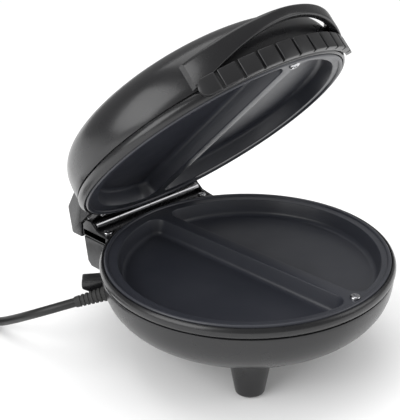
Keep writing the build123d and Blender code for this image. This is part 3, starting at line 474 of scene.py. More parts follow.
BRASS = Finish(
    "blade_brass", (0.72, 0.58, 0.33), (0.60, 0.47, 0.27), (0.16, 0.28), 1600.0, 0.00001, metallic=1.0
)
INNER_PLASTIC = Finish(
    "cream_inner_plastic", (0.60, 0.57, 0.50), (0.52, 0.49, 0.43), (0.45, 0.60), 1800.0, 0.00003
)
WIRE = Finish("red_wire_sleeve", (0.40, 0.03, 0.02), (0.30, 0.02, 0.02), (0.35, 0.5), 1500.0, 0.00002)
RED_LENS = Finish(
    "clear_red_lens", (0.42, 0.012, 0.010), (0.34, 0.010, 0.008), (0.06, 0.12), 700.0, 0.000004,
    coat=0.5, transmission=0.35,
)
GREEN_LENS = Finish(
    "clear_green_lens", (0.03, 0.26, 0.04), (0.02, 0.20, 0.03), (0.06, 0.12), 700.0, 0.000004,
    coat=0.5, transmission=0.35,
)
LAMP = Finish(
    "lamp_glass", (0.85, 0.72, 0.60), (0.80, 0.66, 0.52), (0.05, 0.1), 600.0, 0.000003, transmission=0.8
)

SLOT_FINISH: dict[str, Finish] = {
    "housing_plastic": SHELL,
    "plate_aluminium": COATING,
    "element_steel": DULL_STEEL,
    "reflector_aluminium": BRIGHT_SHEET,
    "hinge_steel": STEEL,
    "screw_steel": SCREW,
    "foot_rubber": RUBBER,
    "inner_plastic": INNER_PLASTIC,
    "wire_plastic": WIRE,
    "cord_rubber": CORD_JACKET,
    "plug_plastic": PLUG,
    "blade_brass": BRASS,
    "power_lens": RED_LENS,
    "ready_lens": GREEN_LENS,
    "lamp_glass": LAMP,
}


def dress(piece: Piece, finish: Finish) -> None:
    """Gives a piece one finish."""
    piece.data.materials.clear()
    piece.data.materials.append(finish.material())


def settle(piece: Piece, body: Body, finish: Finish, slot: str, *nodes: str) -> None:
    """Dresses a finished piece, moves its data into the frame, puts it on its body and hides the nodes it
    replaces.
    """
    piece.data.transform(Matrix.Translation(FRAME_SHIFT))
    dress(piece, finish)
    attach(piece, body.value)
    if nodes:
        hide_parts(*nodes)
    log.info("%s rides on %s", piece.name, body.value)


# ------------------------------------------------------------------ shared shapes
HINGE_Y = 110.5
HINGE_Z = 79.0
REST_OPENING = 43.0
PLATES_MIDDLE_Z = 78.0  # half way between the lower and the upper cooking plate
BOX_FRONT_RADIUS = 98.0
BOX_TOP_Z = 100.0  # a rear box's corners above this height are on its sloping top
BOX_CUTS = 31
BOX_BEVEL = 1.0


def superellipse(
    radius: float, depth: float, exponent: float, rim: float, direction: int, steps: int = 56
) -> list[Point2]:
    """Points from a housing's rim to its pole.

    Args:
        radius: Radius at the rim.
        depth: Height from rim to pole.
        exponent: Roundness of the shoulder.
        rim: Height of the rim.
        direction: -1 for the bowl, 1 for the dome.
        steps: Number of points.

    Returns:
        (radius, height) points, the last one on the axis.
    """
    points: list[Point2] = []
    for step in range(steps):
        turn = math.pi / 2 * step / steps
        out = radius * math.cos(turn) ** (2 / exponent)
        rise = depth * math.sin(turn) ** (2 / exponent)
        points.append((out, rim + direction * rise))
    points.append((0.0, rim + direction * depth))
    return points


def shell(
    name: str, radius: float, wall: float, depth: float, exponent: float, rim: float, direction: int
) -> Piece:
    """A bowl or a dome with its wall and a softened rim, sized as for superellipse."""
    outer = superellipse(radius, depth, exponent, rim, direction)
    inner = superellipse(radius - wall, depth - wall, exponent, rim, direction)
    softened = [(radius - inwards, rim + direction * along) for inwards, along in RIM_SOFTENING]
    return revolved(name, [*softened, *outer[1:], *inner[::-1]])


def raise_lid_piece(piece: Piece) -> None:
    """Turns the mesh of a closed lid piece to the resting angle about the hinge."""
    centre = Matrix.Translation(Vector((0, HINGE_Y, HINGE_Z)) * MM)
    turn = Matrix.Rotation(math.radians(-REST_OPENING), 4, "X")
    piece.data.transform(centre @ turn @ centre.inverted())
    piece.data.update()


def turn_over(piece: Piece) -> None:
    """Turns a base piece's mesh half round, about a line along Y between the plates, for the lid."""
    centre = Matrix.Translation(Vector((0, 0, PLATES_MIDDLE_Z)) * MM)
    piece.data.transform(centre @ Matrix.Rotation(math.pi, 4, "Y") @ centre.inverted())
    piece.data.update()


def upright(a: float, b: float, height: float) -> Point3:
    """An outline in X and Y, extruded upwards."""
    return (a, b, height)


def across(a: float, b: float, height: float) -> Point3:
    """An outline in Y and Z, extruded along X."""
    return (height, a, b)


def box_across(front_y: float, top: Callable[[float], float] | None = None) -> Place:
    """Maps a rear box's outline so that its front end follows the inside of the round shell.

    Args:
        front_y: Y of the outline's front end.
        top: Height of the sloping top at a Y, where the top slopes.

    Returns:
        A map from (y, z, x) to a point.
    """

    def place(a: float, b: float, height: float) -> Point3:
        if a > front_y + 3.0:
            return (height, a, b)
        y = math.sqrt(BOX_FRONT_RADIUS**2 - height**2)
        return (height, y, b if top is None or b < BOX_TOP_Z else top(y))

    return place


def arc_points(
    radius: float, start: float, end: float, steps: int, centre: Point2 = (0.0, 0.0)
) -> list[Point2]:
    """Points along an arc, with its angles in degrees."""
    turns = [math.radians(start + (end - start) * step / steps) for step in range(steps + 1)]
    return [(centre[0] + radius * math.cos(turn), centre[1] + radius * math.sin(turn)) for turn in turns]


# ------------------------------------------------------------------ base
@dataclass
class BaseHousing:
    """Bowl-shaped shell on four tapered feet, with the rear box and the guard beside the cord."""

    radius: float = 107.0
    wall: float = 2.5
    rim_z: float = 68.0
    depth: float = 50.0
    exponent: float = 2.5
    box_half_width: float = 58.0
    box_front_y: float = 78.0
    box_rear_y: float = 121.5
    box_floor_z: float = 43.0
    box_chamfer: float = 4.0
    foot_reach: float = 69.0
    foot_root: Point3 = (12.0, 15.0, 30.0)
    foot_tip: Point3 = (8.0, 10.0, 0.8)
    foot_round: float = 2.5
    foot_facets: int = 48
    cord_angle: float = 141.5
    guard_offset: Point2 = (6.2, 20.2)

    def bowl(self) -> Piece:
        """The bowl."""
        return shell("base_bowl", self.radius, self.wall, self.depth, self.exponent, self.rim_z, -1)

    def rear_box(self) -> Piece:
        """The box under the hinge, chamfered at its foot."""
        rear = self.box_rear_y
        outline = [
            (self.box_front_y, self.box_floor_z),
            (rear - self.wall - self.box_chamfer, self.box_floor_z),
            (rear - self.wall, self.box_floor_z + self.box_chamfer),
            (rear, self.rim_z),
            (self.box_front_y, self.rim_z),
        ]
        corners = rounded(outline, (0, 1.6, 1.6, 0.7, 0))
        place, half = box_across(self.box_front_y), self.box_half_width
        return extruded("base_rear_box", corners, place, -half, half, BOX_BEVEL, cuts=BOX_CUTS)

    def foot(self, turn: float) -> Piece:
        """One leg, a loft of ovals that narrows to a rounded tip."""
        out = Vector((math.cos(turn), math.sin(turn), 0))
        side = Vector((-out.y, out.x, 0))
        sections: list[Section] = []
        root, tip = Vector(self.foot_root), Vector(self.foot_tip)
        levels = [(1.0, 0.0), (0.75, 0.0), (0.5, 0.0), (0.25, 0.0)]
        low = self.foot_round / (root.z - tip.z)
        levels.append((low, 0.0))
        for step in range(1, 7):
            angle = math.pi / 2 * step / 6
            levels.append((low * (1 - math.sin(angle)), self.foot_round * (1 - math.cos(angle))))
        for share, inset in levels:
            size = tip.lerp(root, share)
            section: Section = []
            for step in range(self.foot_facets):
                angle = 2 * math.pi * step / self.foot_facets
                point = out * (self.foot_reach + (size.x - inset) * math.cos(angle))
                point += side * (size.y - inset) * math.sin(angle)
                section.append((point.x, point.y, size.z))
            sections.append(section)
        return lofted("foot", sections, crease=40.0)

    def guard(self) -> Piece:
        """The wedge that stands beside the cord's outlet."""
        turn = math.radians(self.cord_angle)
        out = Vector((math.cos(turn), math.sin(turn), 0))
        side = Vector((math.sin(turn), -math.cos(turn), 0))

        def place(a: float, b: float, height: float) -> Point3:
            point = out * a + side * height
            return (point.x, point.y, b)

        outline = [(90.0, 55.0), (122.5, 55.0), (122.5, 49.0), (95.5, 36.0), (90.0, 36.0)]
        return extruded("cord_guard", rounded(outline, (0, 1.6, 2.6, 1.5, 0)), place, *self.guard_offset, 1.0)

    def build(self) -> None:
        """Builds the housing and puts it in the base's place."""
        feet = [self.foot(math.radians(45 + 90 * index)) for index in range(4)]
        piece = joined("base_shell", [self.bowl(), self.rear_box(), *feet, self.guard()])
        settle(piece, Body.BASE, SHELL, "housing_plastic", "base_housing")


@dataclass
class Bezel:
    """Ring round a cooking plate, with a dark seam to its housing."""

    radius: float = 107.0
    bulge: float = 1.3
    seam: float = 0.9
    seam_depth: float = 1.8
    rim_z: float = 76.0
    inner: float = 105.1
    ledge_z: float = 72.5
    ledge_inner: float = 101.1
    parting_z: float = 68.0
    slab_inset: float = 1.2
    slab_edge: float = 0.5

    def ring(self, name: str) -> Piece:
        """The ring with its bulged side and softened rim."""
        seam_z = self.parting_z + self.seam
        middle = (seam_z + self.rim_z) / 2
        half = (self.rim_z - seam_z) / 2
        side: list[Point2] = []
        for step in range(1, 14):
            rise = -1 + 2 * step / 14
            out = self.radius + self.bulge * (1 - rise * rise) - (rise + 1) * self.bulge / 4
            side.append((out, middle + half * rise))
        top = (self.radius - self.bulge / 2, self.rim_z)
        rim = [(top[0] + 0.05, top[1] - 0.25), (top[0] - 0.15, top[1] - 0.04), (top[0] - 0.5, top[1])]
        profile = [
            (self.radius - self.seam_depth, self.parting_z),
            (self.radius - self.seam_depth, seam_z - 0.05),
            (self.radius - 0.45, seam_z),
            (self.radius - 0.1, seam_z + 0.12),
            *side,
            *rim,
            (self.inner + 0.3, self.rim_z),
            (self.inner, self.rim_z - 0.3),
            (self.inner, self.ledge_z),
            (self.ledge_inner, self.ledge_z),
            (self.ledge_inner, self.ledge_z - 2.5),
            (self.inner - 2.2, self.ledge_z - 2.5),
            (self.inner - 2.2, self.parting_z - 3.0),
            (self.inner - 0.9, self.parting_z - 3.0),
            (self.inner - 0.9, self.parting_z),
        ]
        return revolved(name, profile)

    def slab(self, name: str, half_width: float, rear_y: float, low: float, high: float) -> Piece:
        """A slab whose front is an arc that is let into the ring."""
        reach = self.radius - self.slab_inset
        angle = math.degrees(math.acos(half_width / reach))
        outline = [*arc_points(reach, 180 - angle, angle, 40), (half_width, rear_y), (-half_width, rear_y)]
        return extruded(name, outline, upright, low, high, self.slab_edge)


@dataclass
class BaseBezel(Bezel):
    """The lower ring with the deck behind it and the cheeks beside the hinge."""

    half_width: float = 58.0
    rear_y: float = 121.5
    deck_z: float = 75.0
    cheek_thickness: float = 2.5
    cheek_top_z: float = 83.0
    cheek_corner: float = 4.5

    def deck(self) -> Piece:
        """The flat deck that carries the hinge."""
        return self.slab("deck", self.half_width, self.rear_y, self.parting_z + self.seam, self.deck_z)

    def seam_step(self) -> Piece:
        """The set-back strip under the deck, which shows as a dark line."""
        width = self.half_width - self.seam_depth
        front, rear = 95.0, self.rear_y - self.seam_depth
        outline = [(-width, front), (width, front), (width, rear), (-width, rear)]
        low, high = self.parting_z - 0.4, self.parting_z + self.seam + 0.4
        return extruded("seam_step", outline, upright, low, high, 0.1)

    def cheek(self, side: Side) -> Piece:
        """One cheek, a wall beside the barrel that runs forwards to the ring as a low toe."""
        front, foot = 93.0, self.parting_z + self.seam + 0.3
        outline = [
            (front, foot),
            (self.rear_y, foot),
            (self.rear_y, self.cheek_top_z - self.cheek_corner),
            (self.rear_y - self.cheek_corner, self.cheek_top_z),
            (112.0, self.cheek_top_z),
            (105.0, self.deck_z + 2.3),
            (front, self.deck_z),
        ]
        outer = side.value * self.half_width
        inner = outer - side.value * self.cheek_thickness
        low, high = min(outer, inner), max(outer, inner)
        return extruded("cheek", rounded(outline, (0, 0, 0.8, 0.8, 1.5, 2.5, 0)), across, low, high, 0.5)

    def build(self) -> None:
        """Builds the lower bezel and puts it in its place."""
        cheeks = [self.cheek(side) for side in Side]
        piece = joined("base_rim", [self.ring("ring"), self.deck(), self.seam_step(), *cheeks])
        settle(piece, Body.BASE, SHELL, "housing_plastic", "base_bezel")


@dataclass
class CookingPlate:
    """Coated plate with a raised lip and two drafted half-moon wells."""

    radius: float = 104.6
    flange_z: float = 75.5
    thickness: float = 3.0
    lip_width: float = 3.0
    lip_height: float = 1.5
    well_radius: float = 95.5
    well_centre_y: float = -2.0
    divider: float = 11.0
    depth: float = 13.0
    draft: float = 12.0
    corner: float = 9.0
    edge_round: float = 0.9
    floor_round: float = 4.0

    def outline(self, side: Side, inset: float) -> list[Point2]:
        """A well's outline, moved inwards by an amount.

        Args:
            side: Which well.
            inset: Distance inwards; negative for the pan's outside.

        Returns:
            Points in a fixed order and number, so that outlines can be joined.
        """
        radius = self.well_radius - inset
        edge = self.divider / 2 + inset
        corner = max(0.4, self.corner - inset)
        reach = math.sqrt((radius - corner) ** 2 - (edge + corner) ** 2)
        swing = math.degrees(math.atan2(reach, edge + corner))
        upper = arc_points(corner, swing, 180, 14, (edge + corner, reach))
        lower = arc_points(corner, 180, 360 - swing, 14, (edge + corner, -reach))
        straight = [(edge, reach * (1 - 2 * step / 12)) for step in range(1, 12)]
        outer = arc_points(radius, -swing, swing, 72)
        points = [*upper, *straight, *lower, *outer[1:-1]]
        return [(side.value * a, b + self.well_centre_y) for a, b in points]

    def well(self, side: Side) -> tuple[Skin, Skin]:
        """The skin of one well, from its rounded edge to its floor, and the skin of the pan round it."""
        slope = math.tan(math.radians(self.draft))
        levels: list[Point2] = []
        for step in range(6):
            turn = math.radians((90 - self.draft) * step / 5)
            levels.append((self.edge_round * (math.sin(turn) - 1), -self.edge_round * (1 - math.cos(turn))))
        wall_top = levels[-1]
        floor_start = self.depth - self.floor_round
        levels.append((wall_top[0] + slope * (floor_start + wall_top[1]), -floor_start))
        base_inset = levels[-1][0]
        for step in range(1, 8):
            turn = math.pi / 2 * step / 7
            inset = base_inset + self.floor_round * (1 - math.cos(turn))
            levels.append((inset, -floor_start - self.floor_round * math.sin(turn)))
        sections = [[(a, b, self.flange_z + z) for a, b in self.outline(side, inset)] for inset, z in levels]
        under = self.flange_z - self.depth - self.thickness
        pan: list[Point2] = [
            (base_inset + self.floor_round * 0.6 - self.thickness, under),
            (base_inset - self.thickness + 0.6, under + 1.2),
            (-self.thickness, self.flange_z - self.thickness),
        ]
        outside = [[(a, b, z) for a, b in self.outline(side, inset)] for inset, z in pan]
        return skin(sections), skin(outside)

    @staticmethod
    def sheet(height: float, outer: list[Point2], holes: list[list[Point2]]) -> Skin:
        """A flat face at a height, with holes."""
        points = [point for ring in [outer, *holes] for point in ring]
        edges: list[tuple[int, int]] = []
        start = 0
        for ring in [outer, *holes]:
            edges.extend((start + index, start + (index + 1) % len(ring)) for index in range(len(ring)))
            start += len(ring)
        found, _, faces, _, _, _ = delaunay_2d_cdt([Vector(p) for p in points], edges, [], 0, 1e-5)
        kept: list[list[int]] = []
        for face in faces:
            centre = sum((found[index] for index in face), Vector((0, 0))) / len(face)
            if inside(centre, outer) and not any(inside(centre, hole) for hole in holes):
                kept.append(list(face))
        return [(point.x, point.y, height) for point in found], kept

    def build_mesh(self, name: str) -> Piece:
        """The whole plate as one closed mesh."""
        parts: list[Skin] = []
        mouths: list[list[Point2]] = []
        pans: list[list[Point2]] = []
        floors: list[Section] = []
        bases: list[Section] = []
        for side in Side:
            inner, outer = self.well(side)
            parts.extend([inner, outer])
            count = len(self.outline(side, 0))
            mouths.append([(p[0], p[1]) for p in inner[0][:count]])
            floors.append(inner[0][-count:])
            bases.append(outer[0][:count])
            pans.append([(p[0], p[1]) for p in outer[0][-count:]])
        lip_inner = self.radius - self.lip_width
        circle = arc_points(lip_inner, 0, 360, PLATE_STEPS)[:-1]
        parts.append(self.sheet(self.flange_z, circle, mouths))
        edge = arc_points(self.radius, 0, 360, PLATE_STEPS)[:-1]
        parts.append(self.sheet(self.flange_z - self.thickness, edge, pans))
        for section in [*floors, *bases]:
            ring = [(p[0], p[1]) for p in section]
            parts.append(self.sheet(section[0][2], ring, []))
        profile = [(lip_inner, self.flange_z)]
        for step in range(1, 9):
            turn = math.pi * (1 - step / 8)
            out = lip_inner + self.lip_width / 2 * (1 + math.cos(turn))
            profile.append((out, self.flange_z + self.lip_height * math.sin(turn)))
        profile.append((self.radius, self.flange_z - self.thickness))
        rings = [[(a, b, z) for a, b in arc_points(r, 0, 360, PLATE_STEPS)[:-1]] for r, z in profile]
        parts.append(skin(rings))
        points: list[Point3] = []
        faces: list[list[int]] = []
        for part_points, part_faces in parts:
            start = len(points)
            points.extend(part_points)
            faces.extend([start + index for index in face] for face in part_faces)
        return mesh_piece(name, points, faces, crease=32.0)

    def build(self, name: str, node: str, body: Body) -> None:
        """Builds one plate, turned over and raised for the lid."""
        piece = self.build_mesh(name)
        if body is Body.LID:
            turn_over(piece)
            raise_lid_piece(piece)
        settle(piece, body, COATING, "plate_aluminium", node)


def inside(point: Vector, ring: Sequence[Point2]) -> bool:
    """Whether a point lies in a closed outline."""
    hit = False
    for (ax, ay), (bx, by) in zip(ring, [*ring[1:], ring[0]]):
        if (ay > point.y) != (by > point.y) and point.x < (bx - ax) * (point.y - ay) / (by - ay) + ax:
            hit = not hit
    return hit


# ------------------------------------------------------------------ lid
@dataclass
class LidHousing:
    """Domed shell with the box behind the hinge."""

    radius: float = 107.0
    wall: float = 2.5
    rim_z: float = 88.0
    height: float = 43.0
    exponent: float = 3.4
    box_half_width: float = 58.5
    box_front_y: float = 78.0
    face_out: float = 13.0
    box_drop: float = 13.0
    box_depth: float = 13.0
    box_flare: float = 3.0
    box_rise: float = 9.0
    box_top_drop: float = 8.0
    top_slope: float = 0.244

    def closed_point(self, out: float, up: float) -> Point2:
        """Where a point given from the hinge at the resting angle lies on the closed lid."""
        turn = math.radians(REST_OPENING)
        return (
            HINGE_Y + out * math.cos(turn) - up * math.sin(turn),
            HINGE_Z + out * math.sin(turn) + up * math.cos(turn),
        )

    def dome(self) -> Piece:
        """The dome."""
        return shell("dome", self.radius, self.wall, self.height, self.exponent, self.rim_z, 1)

    def rear_box(self) -> Piece:
        """The box that stands behind the base's box at rest."""
        turn = math.radians(REST_OPENING)
        shelf = (self.rim_z - HINGE_Z - self.face_out * math.sin(turn)) / math.cos(turn)
        outline = [
            (self.box_front_y, self.rim_z),
            self.closed_point(self.face_out, shelf),
            self.closed_point(self.face_out, -self.box_drop),
            self.closed_point(self.face_out + self.box_depth, -self.box_drop),
            self.closed_point(self.face_out + self.box_depth + self.box_flare, self.box_rise),
            (self.box_front_y, self.rim_z + self.height - self.box_top_drop),
        ]
        back_y, back_z = outline[4]

        def top(y: float) -> float:
            return back_z + (back_y - y) * self.top_slope

        corners = rounded(outline, (0, 0.8, 1.5, 2.2, 5.0, 0))
        place, half = box_across(self.box_front_y, top), self.box_half_width
        return extruded("lid_rear_box", corners, place, -half, half, BOX_BEVEL, cuts=BOX_CUTS)

    def build(self) -> None:
        """Builds the lid's shell and raises it."""
        piece = joined("lid_shell", [self.dome(), self.rear_box()])
        raise_lid_piece(piece)
        settle(piece, Body.LID, SHELL, "housing_plastic", "lid_housing")


@dataclass
class LidBezel(Bezel):
    """The upper ring, with the block that takes the lid's hinge leaf."""

    block_half_width: float = 55.0
    block_bottom: float = 83.2
    block_top: float = 88.0
    block_rear_y: float = 112.3

    def block(self) -> Piece:
        """The block behind the ring."""
        return self.slab(
            "block", self.block_half_width, self.block_rear_y, self.block_bottom, self.block_top
        )

    def build(self) -> None:
        """Builds the upper bezel and raises it."""
        ring = self.ring("upper_ring")
        turn_over(ring)
        piece = joined("lid_rim", [ring, self.block()])
        raise_lid_piece(piece)
        settle(piece, Body.LID, SHELL, "housing_plastic", "lid_bezel")


@dataclass
class LidHandle:
    """Arched band across the front of the lid, whose wings wrap round the grip's ends."""

    rim_z: float = 80.0
    span: float = 40.0
    root_radius: float = 110.5
    reach: float = 119.0
    thickness: float = 4.5
    wing: float = 4.0
    low_root: float = 9.0
    low_middle: float = 23.0
    high_root: float = 26.0
    high_middle: float = 31.0
    edge: float = 1.6
    steps: int = 96

    @staticmethod
    def through(root: float, middle: float, half: float, x: float) -> float:
        """Value at x of the arc through (-half, root), (0, middle) and (half, root)."""
        rise = middle - root
        if abs(rise) < 1e-6:
            return root
        radius = (half * half + rise * rise) / (2 * abs(rise))
        sign = 1.0 if rise > 0 else -1.0
        return middle - sign * (radius - math.sqrt(max(0.0, radius * radius - x * x)))

    def build(self) -> None:
        """Builds the band as one loft of rounded sections from wing to wing, and raises it."""
        root_x = self.root_radius * math.sin(math.radians(self.span))
        root_y = -self.root_radius * math.cos(math.radians(self.span))
        arch_x = root_x - self.wing
        sections: list[Section] = []
        for step in range(self.steps + 1):
            share = -1 + 2 * step / self.steps
            x = root_x * math.sin(math.pi / 2 * share)
            front = self.through(root_y, -self.reach, root_x, x)
            top = self.rim_z + self.through(self.high_root, self.high_middle, root_x, x)
            if abs(x) < arch_x:
                low = self.rim_z + self.through(self.low_root, self.low_middle, arch_x, x)
                back = self.through(root_y + self.wing, self.thickness - self.reach, arch_x, x)
            else:
                low = self.rim_z + self.low_root
                back = root_y + self.wing
            depth = max(self.thickness, back - front)
            ring = rounded(
                [(front, low), (front + depth, low), (front + depth, top), (front, top)],
                (self.edge, 0.6, 0.6, self.edge * 1.4),
                4,
            )
            sections.append([(x, a, b) for a, b in ring])
        piece = lofted("lid_band", sections, crease=35.0)
        raise_lid_piece(piece)
        settle(piece, Body.LID, SHELL, "housing_plastic", "lid_handle")


@dataclass
class FrontGrip:
    """Curved grip on the lid's front, a backing band with a row of blocks in front of it."""

    back_radius: float = 108.6
    groove_radius: float = 110.1
    face_radius: float = 113.0
    low_z: float = 80.0
    high_z: float = 92.0
    half_width: float = 72.6
    blocks: int = 11
    groove: float = 2.0
    bevel: float = 0.7
    crease: float = 50.0
    backing_steps: int = 96
    end_steps: int = 24

    @property
    def half_height(self) -> float:
        """Half the grip's height, which is also the radius of its ends."""
        return (self.high_z - self.low_z) / 2

    @property
    def middle_z(self) -> float:
        """Height of the grip's middle."""
        return (self.high_z + self.low_z) / 2

    @property
    def half_length(self) -> float:
        """Half the grip's length along its face."""
        return self.face_radius * math.asin(self.half_width / self.face_radius)

    @property
    def pitch(self) -> float:
        """Length of one block with its groove, along the face."""
        return 2 * self.half_length / self.blocks

    def on_arc(self, along: float, height: float, radius: float) -> Point3:
        """A point given along the face, upwards and outwards."""
        turn = along / self.face_radius
        return (radius * math.sin(turn), -radius * math.cos(turn), height)

    def height_at(self, along: float, least: float, lower_by: float = 0.0) -> float:
        """Half the grip's height at a place along it, where each end is a half circle."""
        past = max(0.0, abs(along) - (self.half_length - self.half_height))
        return max(least, math.sqrt(max(0.0, self.half_height**2 - past**2)) - lower_by)

    def section(self, along: float, height: float, back: float, face: float, edge: float = 0.0) -> Section:
        """A section across the grip at a place along it.

        Args:
            along: The place along the face.
            height: Half the section's height.
            back: Radius of its back.
            face: Radius of its face.
            edge: Radius of the rounded edges at its face; 0 for none.

        Returns:
            The section's points.
        """
        low, high = self.middle_z - height, self.middle_z + height
        ring = [(back, low), (face, low), (face, high), (back, high)]
        if edge:
            ring = rounded(ring, (0.0, edge, edge, 0.0), 4)
        return [self.on_arc(along, b, a) for a, b in ring]

    def backing(self) -> Piece:
        """The band behind the blocks, with rounded ends."""
        sections: list[Section] = []
        for step in range(self.backing_steps + 1):
            along = -math.cos(math.pi * step / self.backing_steps) * (self.half_length - 0.02)
            height = self.height_at(along, 0.25, lower_by=0.15)
            sections.append(self.section(along, height, self.back_radius, self.groove_radius + 0.2))
        return lofted("grip_backing", sections, crease=40.0)

    def middle_block(self) -> Piece:
        """The block at the middle of the grip, with softened ends and edges."""
        half = (self.pitch - self.groove) / 2
        turns = [math.pi / 2 * step / 5 for step in range(6)]
        ends = [(self.bevel * (1 - math.cos(turn)), self.bevel * (1 - math.sin(turn))) for turn in turns]
        places = [(run - half, sink) for run, sink in ends]
        places.extend((half * step / 4, 0.0) for step in range(-2, 3))
        places.extend((half - run, sink) for run, sink in reversed(ends))
        root = self.groove_radius - 0.4
        sections = [
            self.section(along, self.half_height, root, self.face_radius - sink, self.bevel)
            for along, sink in places
        ]
        return lofted("grip_block", sections, self.crease)

    def end_block(self, side: Side) -> Piece:
        """The block at one end, whose height follows the grip's round end."""
        start = self.half_length - self.pitch + self.groove / 2
        length = self.half_length - 0.05 - start
        sections: list[Section] = []
        for step in range(self.end_steps + 1):
            along = start + length * math.sin(math.pi / 2 * step / self.end_steps)
            near = min(1.0, (along - start) / self.bevel)
            face = self.face_radius - self.bevel * (1 - math.sqrt(max(0.0, 1 - (1 - near) ** 2)))
            height = self.height_at(along, 0.3)
            edge = min(self.bevel, 0.45 * height)
            sections.append(self.section(along, height, self.groove_radius - 0.4, face, edge))
        piece = lofted("grip_end", sections, self.crease)
        if side is Side.LEFT:
            piece.data.transform(Matrix.Scale(-1, 4, Vector((1, 0, 0))))
            tidy_mesh(piece, self.crease)
        return piece

    @staticmethod
    def math_node(tree: bpy.types.GeometryNodeTree, operation: str) -> bpy.types.Node:
        """A node that does one sum."""
        node = tree.nodes.new("ShaderNodeMath")
        node.operation = operation
        return node

    def row_tree(self) -> bpy.types.GeometryNodeTree:
        """Nodes that turn copies of a block about the lid's axis and join them."""
        tree = bpy.data.node_groups.new("grip_block_row", "GeometryNodeTree")
        kinds = {"Block": "Object", "Count": "Int", "Pitch": "Float", "Material": "Material"}
        for name, kind in kinds.items():
            tree.interface.new_socket(name, in_out="INPUT", socket_type=f"NodeSocket{kind}")
        tree.interface.new_socket("Geometry", in_out="OUTPUT", socket_type="NodeSocketGeometry")
        source = tree.nodes.new("NodeGroupInput")
        result = tree.nodes.new("NodeGroupOutput")
        line = tree.nodes.new("GeometryNodeMeshLine")
        line.inputs["Offset"].default_value = (0.0, 0.0, 0.0)
        info = tree.nodes.new("GeometryNodeObjectInfo")
        index = tree.nodes.new("GeometryNodeInputIndex")
        last, half, place, turn = (
            self.math_node(tree, operation) for operation in ("SUBTRACT", "MULTIPLY", "SUBTRACT", "MULTIPLY")
        )
        last.inputs[1].default_value = 1.0
        half.inputs[1].default_value = 0.5
        spin = tree.nodes.new("ShaderNodeCombineXYZ")
        copies = tree.nodes.new("GeometryNodeInstanceOnPoints")
        real = tree.nodes.new("GeometryNodeRealizeInstances")
        paint = tree.nodes.new("GeometryNodeSetMaterial")
        link = tree.links.new
        link(source.outputs["Count"], line.inputs["Count"])
        link(source.outputs["Block"], info.inputs["Object"])
        link(source.outputs["Count"], last.inputs[0])
        link(last.outputs[0], half.inputs[0])
        link(index.outputs["Index"], place.inputs[0])
        link(half.outputs[0], place.inputs[1])
        link(place.outputs[0], turn.inputs[0])
        link(source.outputs["Pitch"], turn.inputs[1])
        link(turn.outputs[0], spin.inputs["Z"])
        link(line.outputs["Mesh"], copies.inputs["Points"])
        link(info.outputs["Geometry"], copies.inputs["Instance"])
        link(spin.outputs["Vector"], copies.inputs["Rotation"])
        link(copies.outputs["Instances"], real.inputs["Geometry"])
        link(real.outputs["Geometry"], paint.inputs["Geometry"])
        link(source.outputs["Material"], paint.inputs["Material"])
        link(paint.outputs["Geometry"], result.inputs["Geometry"])
        return tree

    def row(self) -> Piece:
        """The middle blocks, made by the nodes and turned into a plain mesh."""
        block = self.middle_block()
        holder = add_object("grip_row", bpy.data.meshes.new("grip_row"))
        modifier = holder.modifiers.new("row", "NODES")
        tree = self.row_tree()
        modifier.node_group = tree
        values = {
            "Block": block,
            "Count": self.blocks - 2,
            "Pitch": self.pitch / self.face_radius,
            "Material": GRIP.material(),
        }
        for item in tree.interface.items_tree:
            if item.in_out == "INPUT":
                modifier[item.identifier] = values[item.name]
        bpy.context.view_layer.update()
        graph = bpy.context.evaluated_depsgraph_get()
        mesh = bpy.data.meshes.new_from_object(holder.evaluated_get(graph))
        holder.modifiers.remove(modifier)
        holder.data = mesh
        bpy.data.objects.remove(block)
        return holder

    def build(self) -> None:
        """Builds the grip and raises it with the lid."""
        ends = [self.end_block(side) for side in Side]
        piece = joined("lid_grip", [self.backing(), self.row(), *ends], self.crease)
        raise_lid_piece(piece)
        settle(piece, Body.LID, GRIP, "housing_plastic", "front_grip")


# ------------------------------------------------------------------ cord
EXIT = Vector((-81.78, 65.05, 48.0))
EXIT_WAY = Vector((-0.7594, 0.6040, -0.2419)).normalized()
SLOT_SLOPE = 0.3  # length of a slot's sloping side
ROUND_CORNER = 99.0  # a corner radius that makes a plug section round


def slot_edges(length: float, margin: float, slots: int, share: float, depth: float) -> list[Point2]:
    """Places along a slotted sleeve, each with the depth of the slot there.

    Args:
        length: The sleeve's length.
        margin: Plain length at each end.
        slots: Number of slots.
        share: Share of each pitch that is slot.
        depth: Depth of a slot.

    Returns:
        (place, depth) of each edge, from the sleeve's root to its tip.
    """
    pitch = (length - 2 * margin) / slots
    slot = pitch * share
    edges = ((0.0, 0.0), (SLOT_SLOPE, depth), (slot, depth), (slot + SLOT_SLOPE, 0.0))
    return [(margin + index * pitch + along, drop) for index in range(slots) for along, drop in edges]


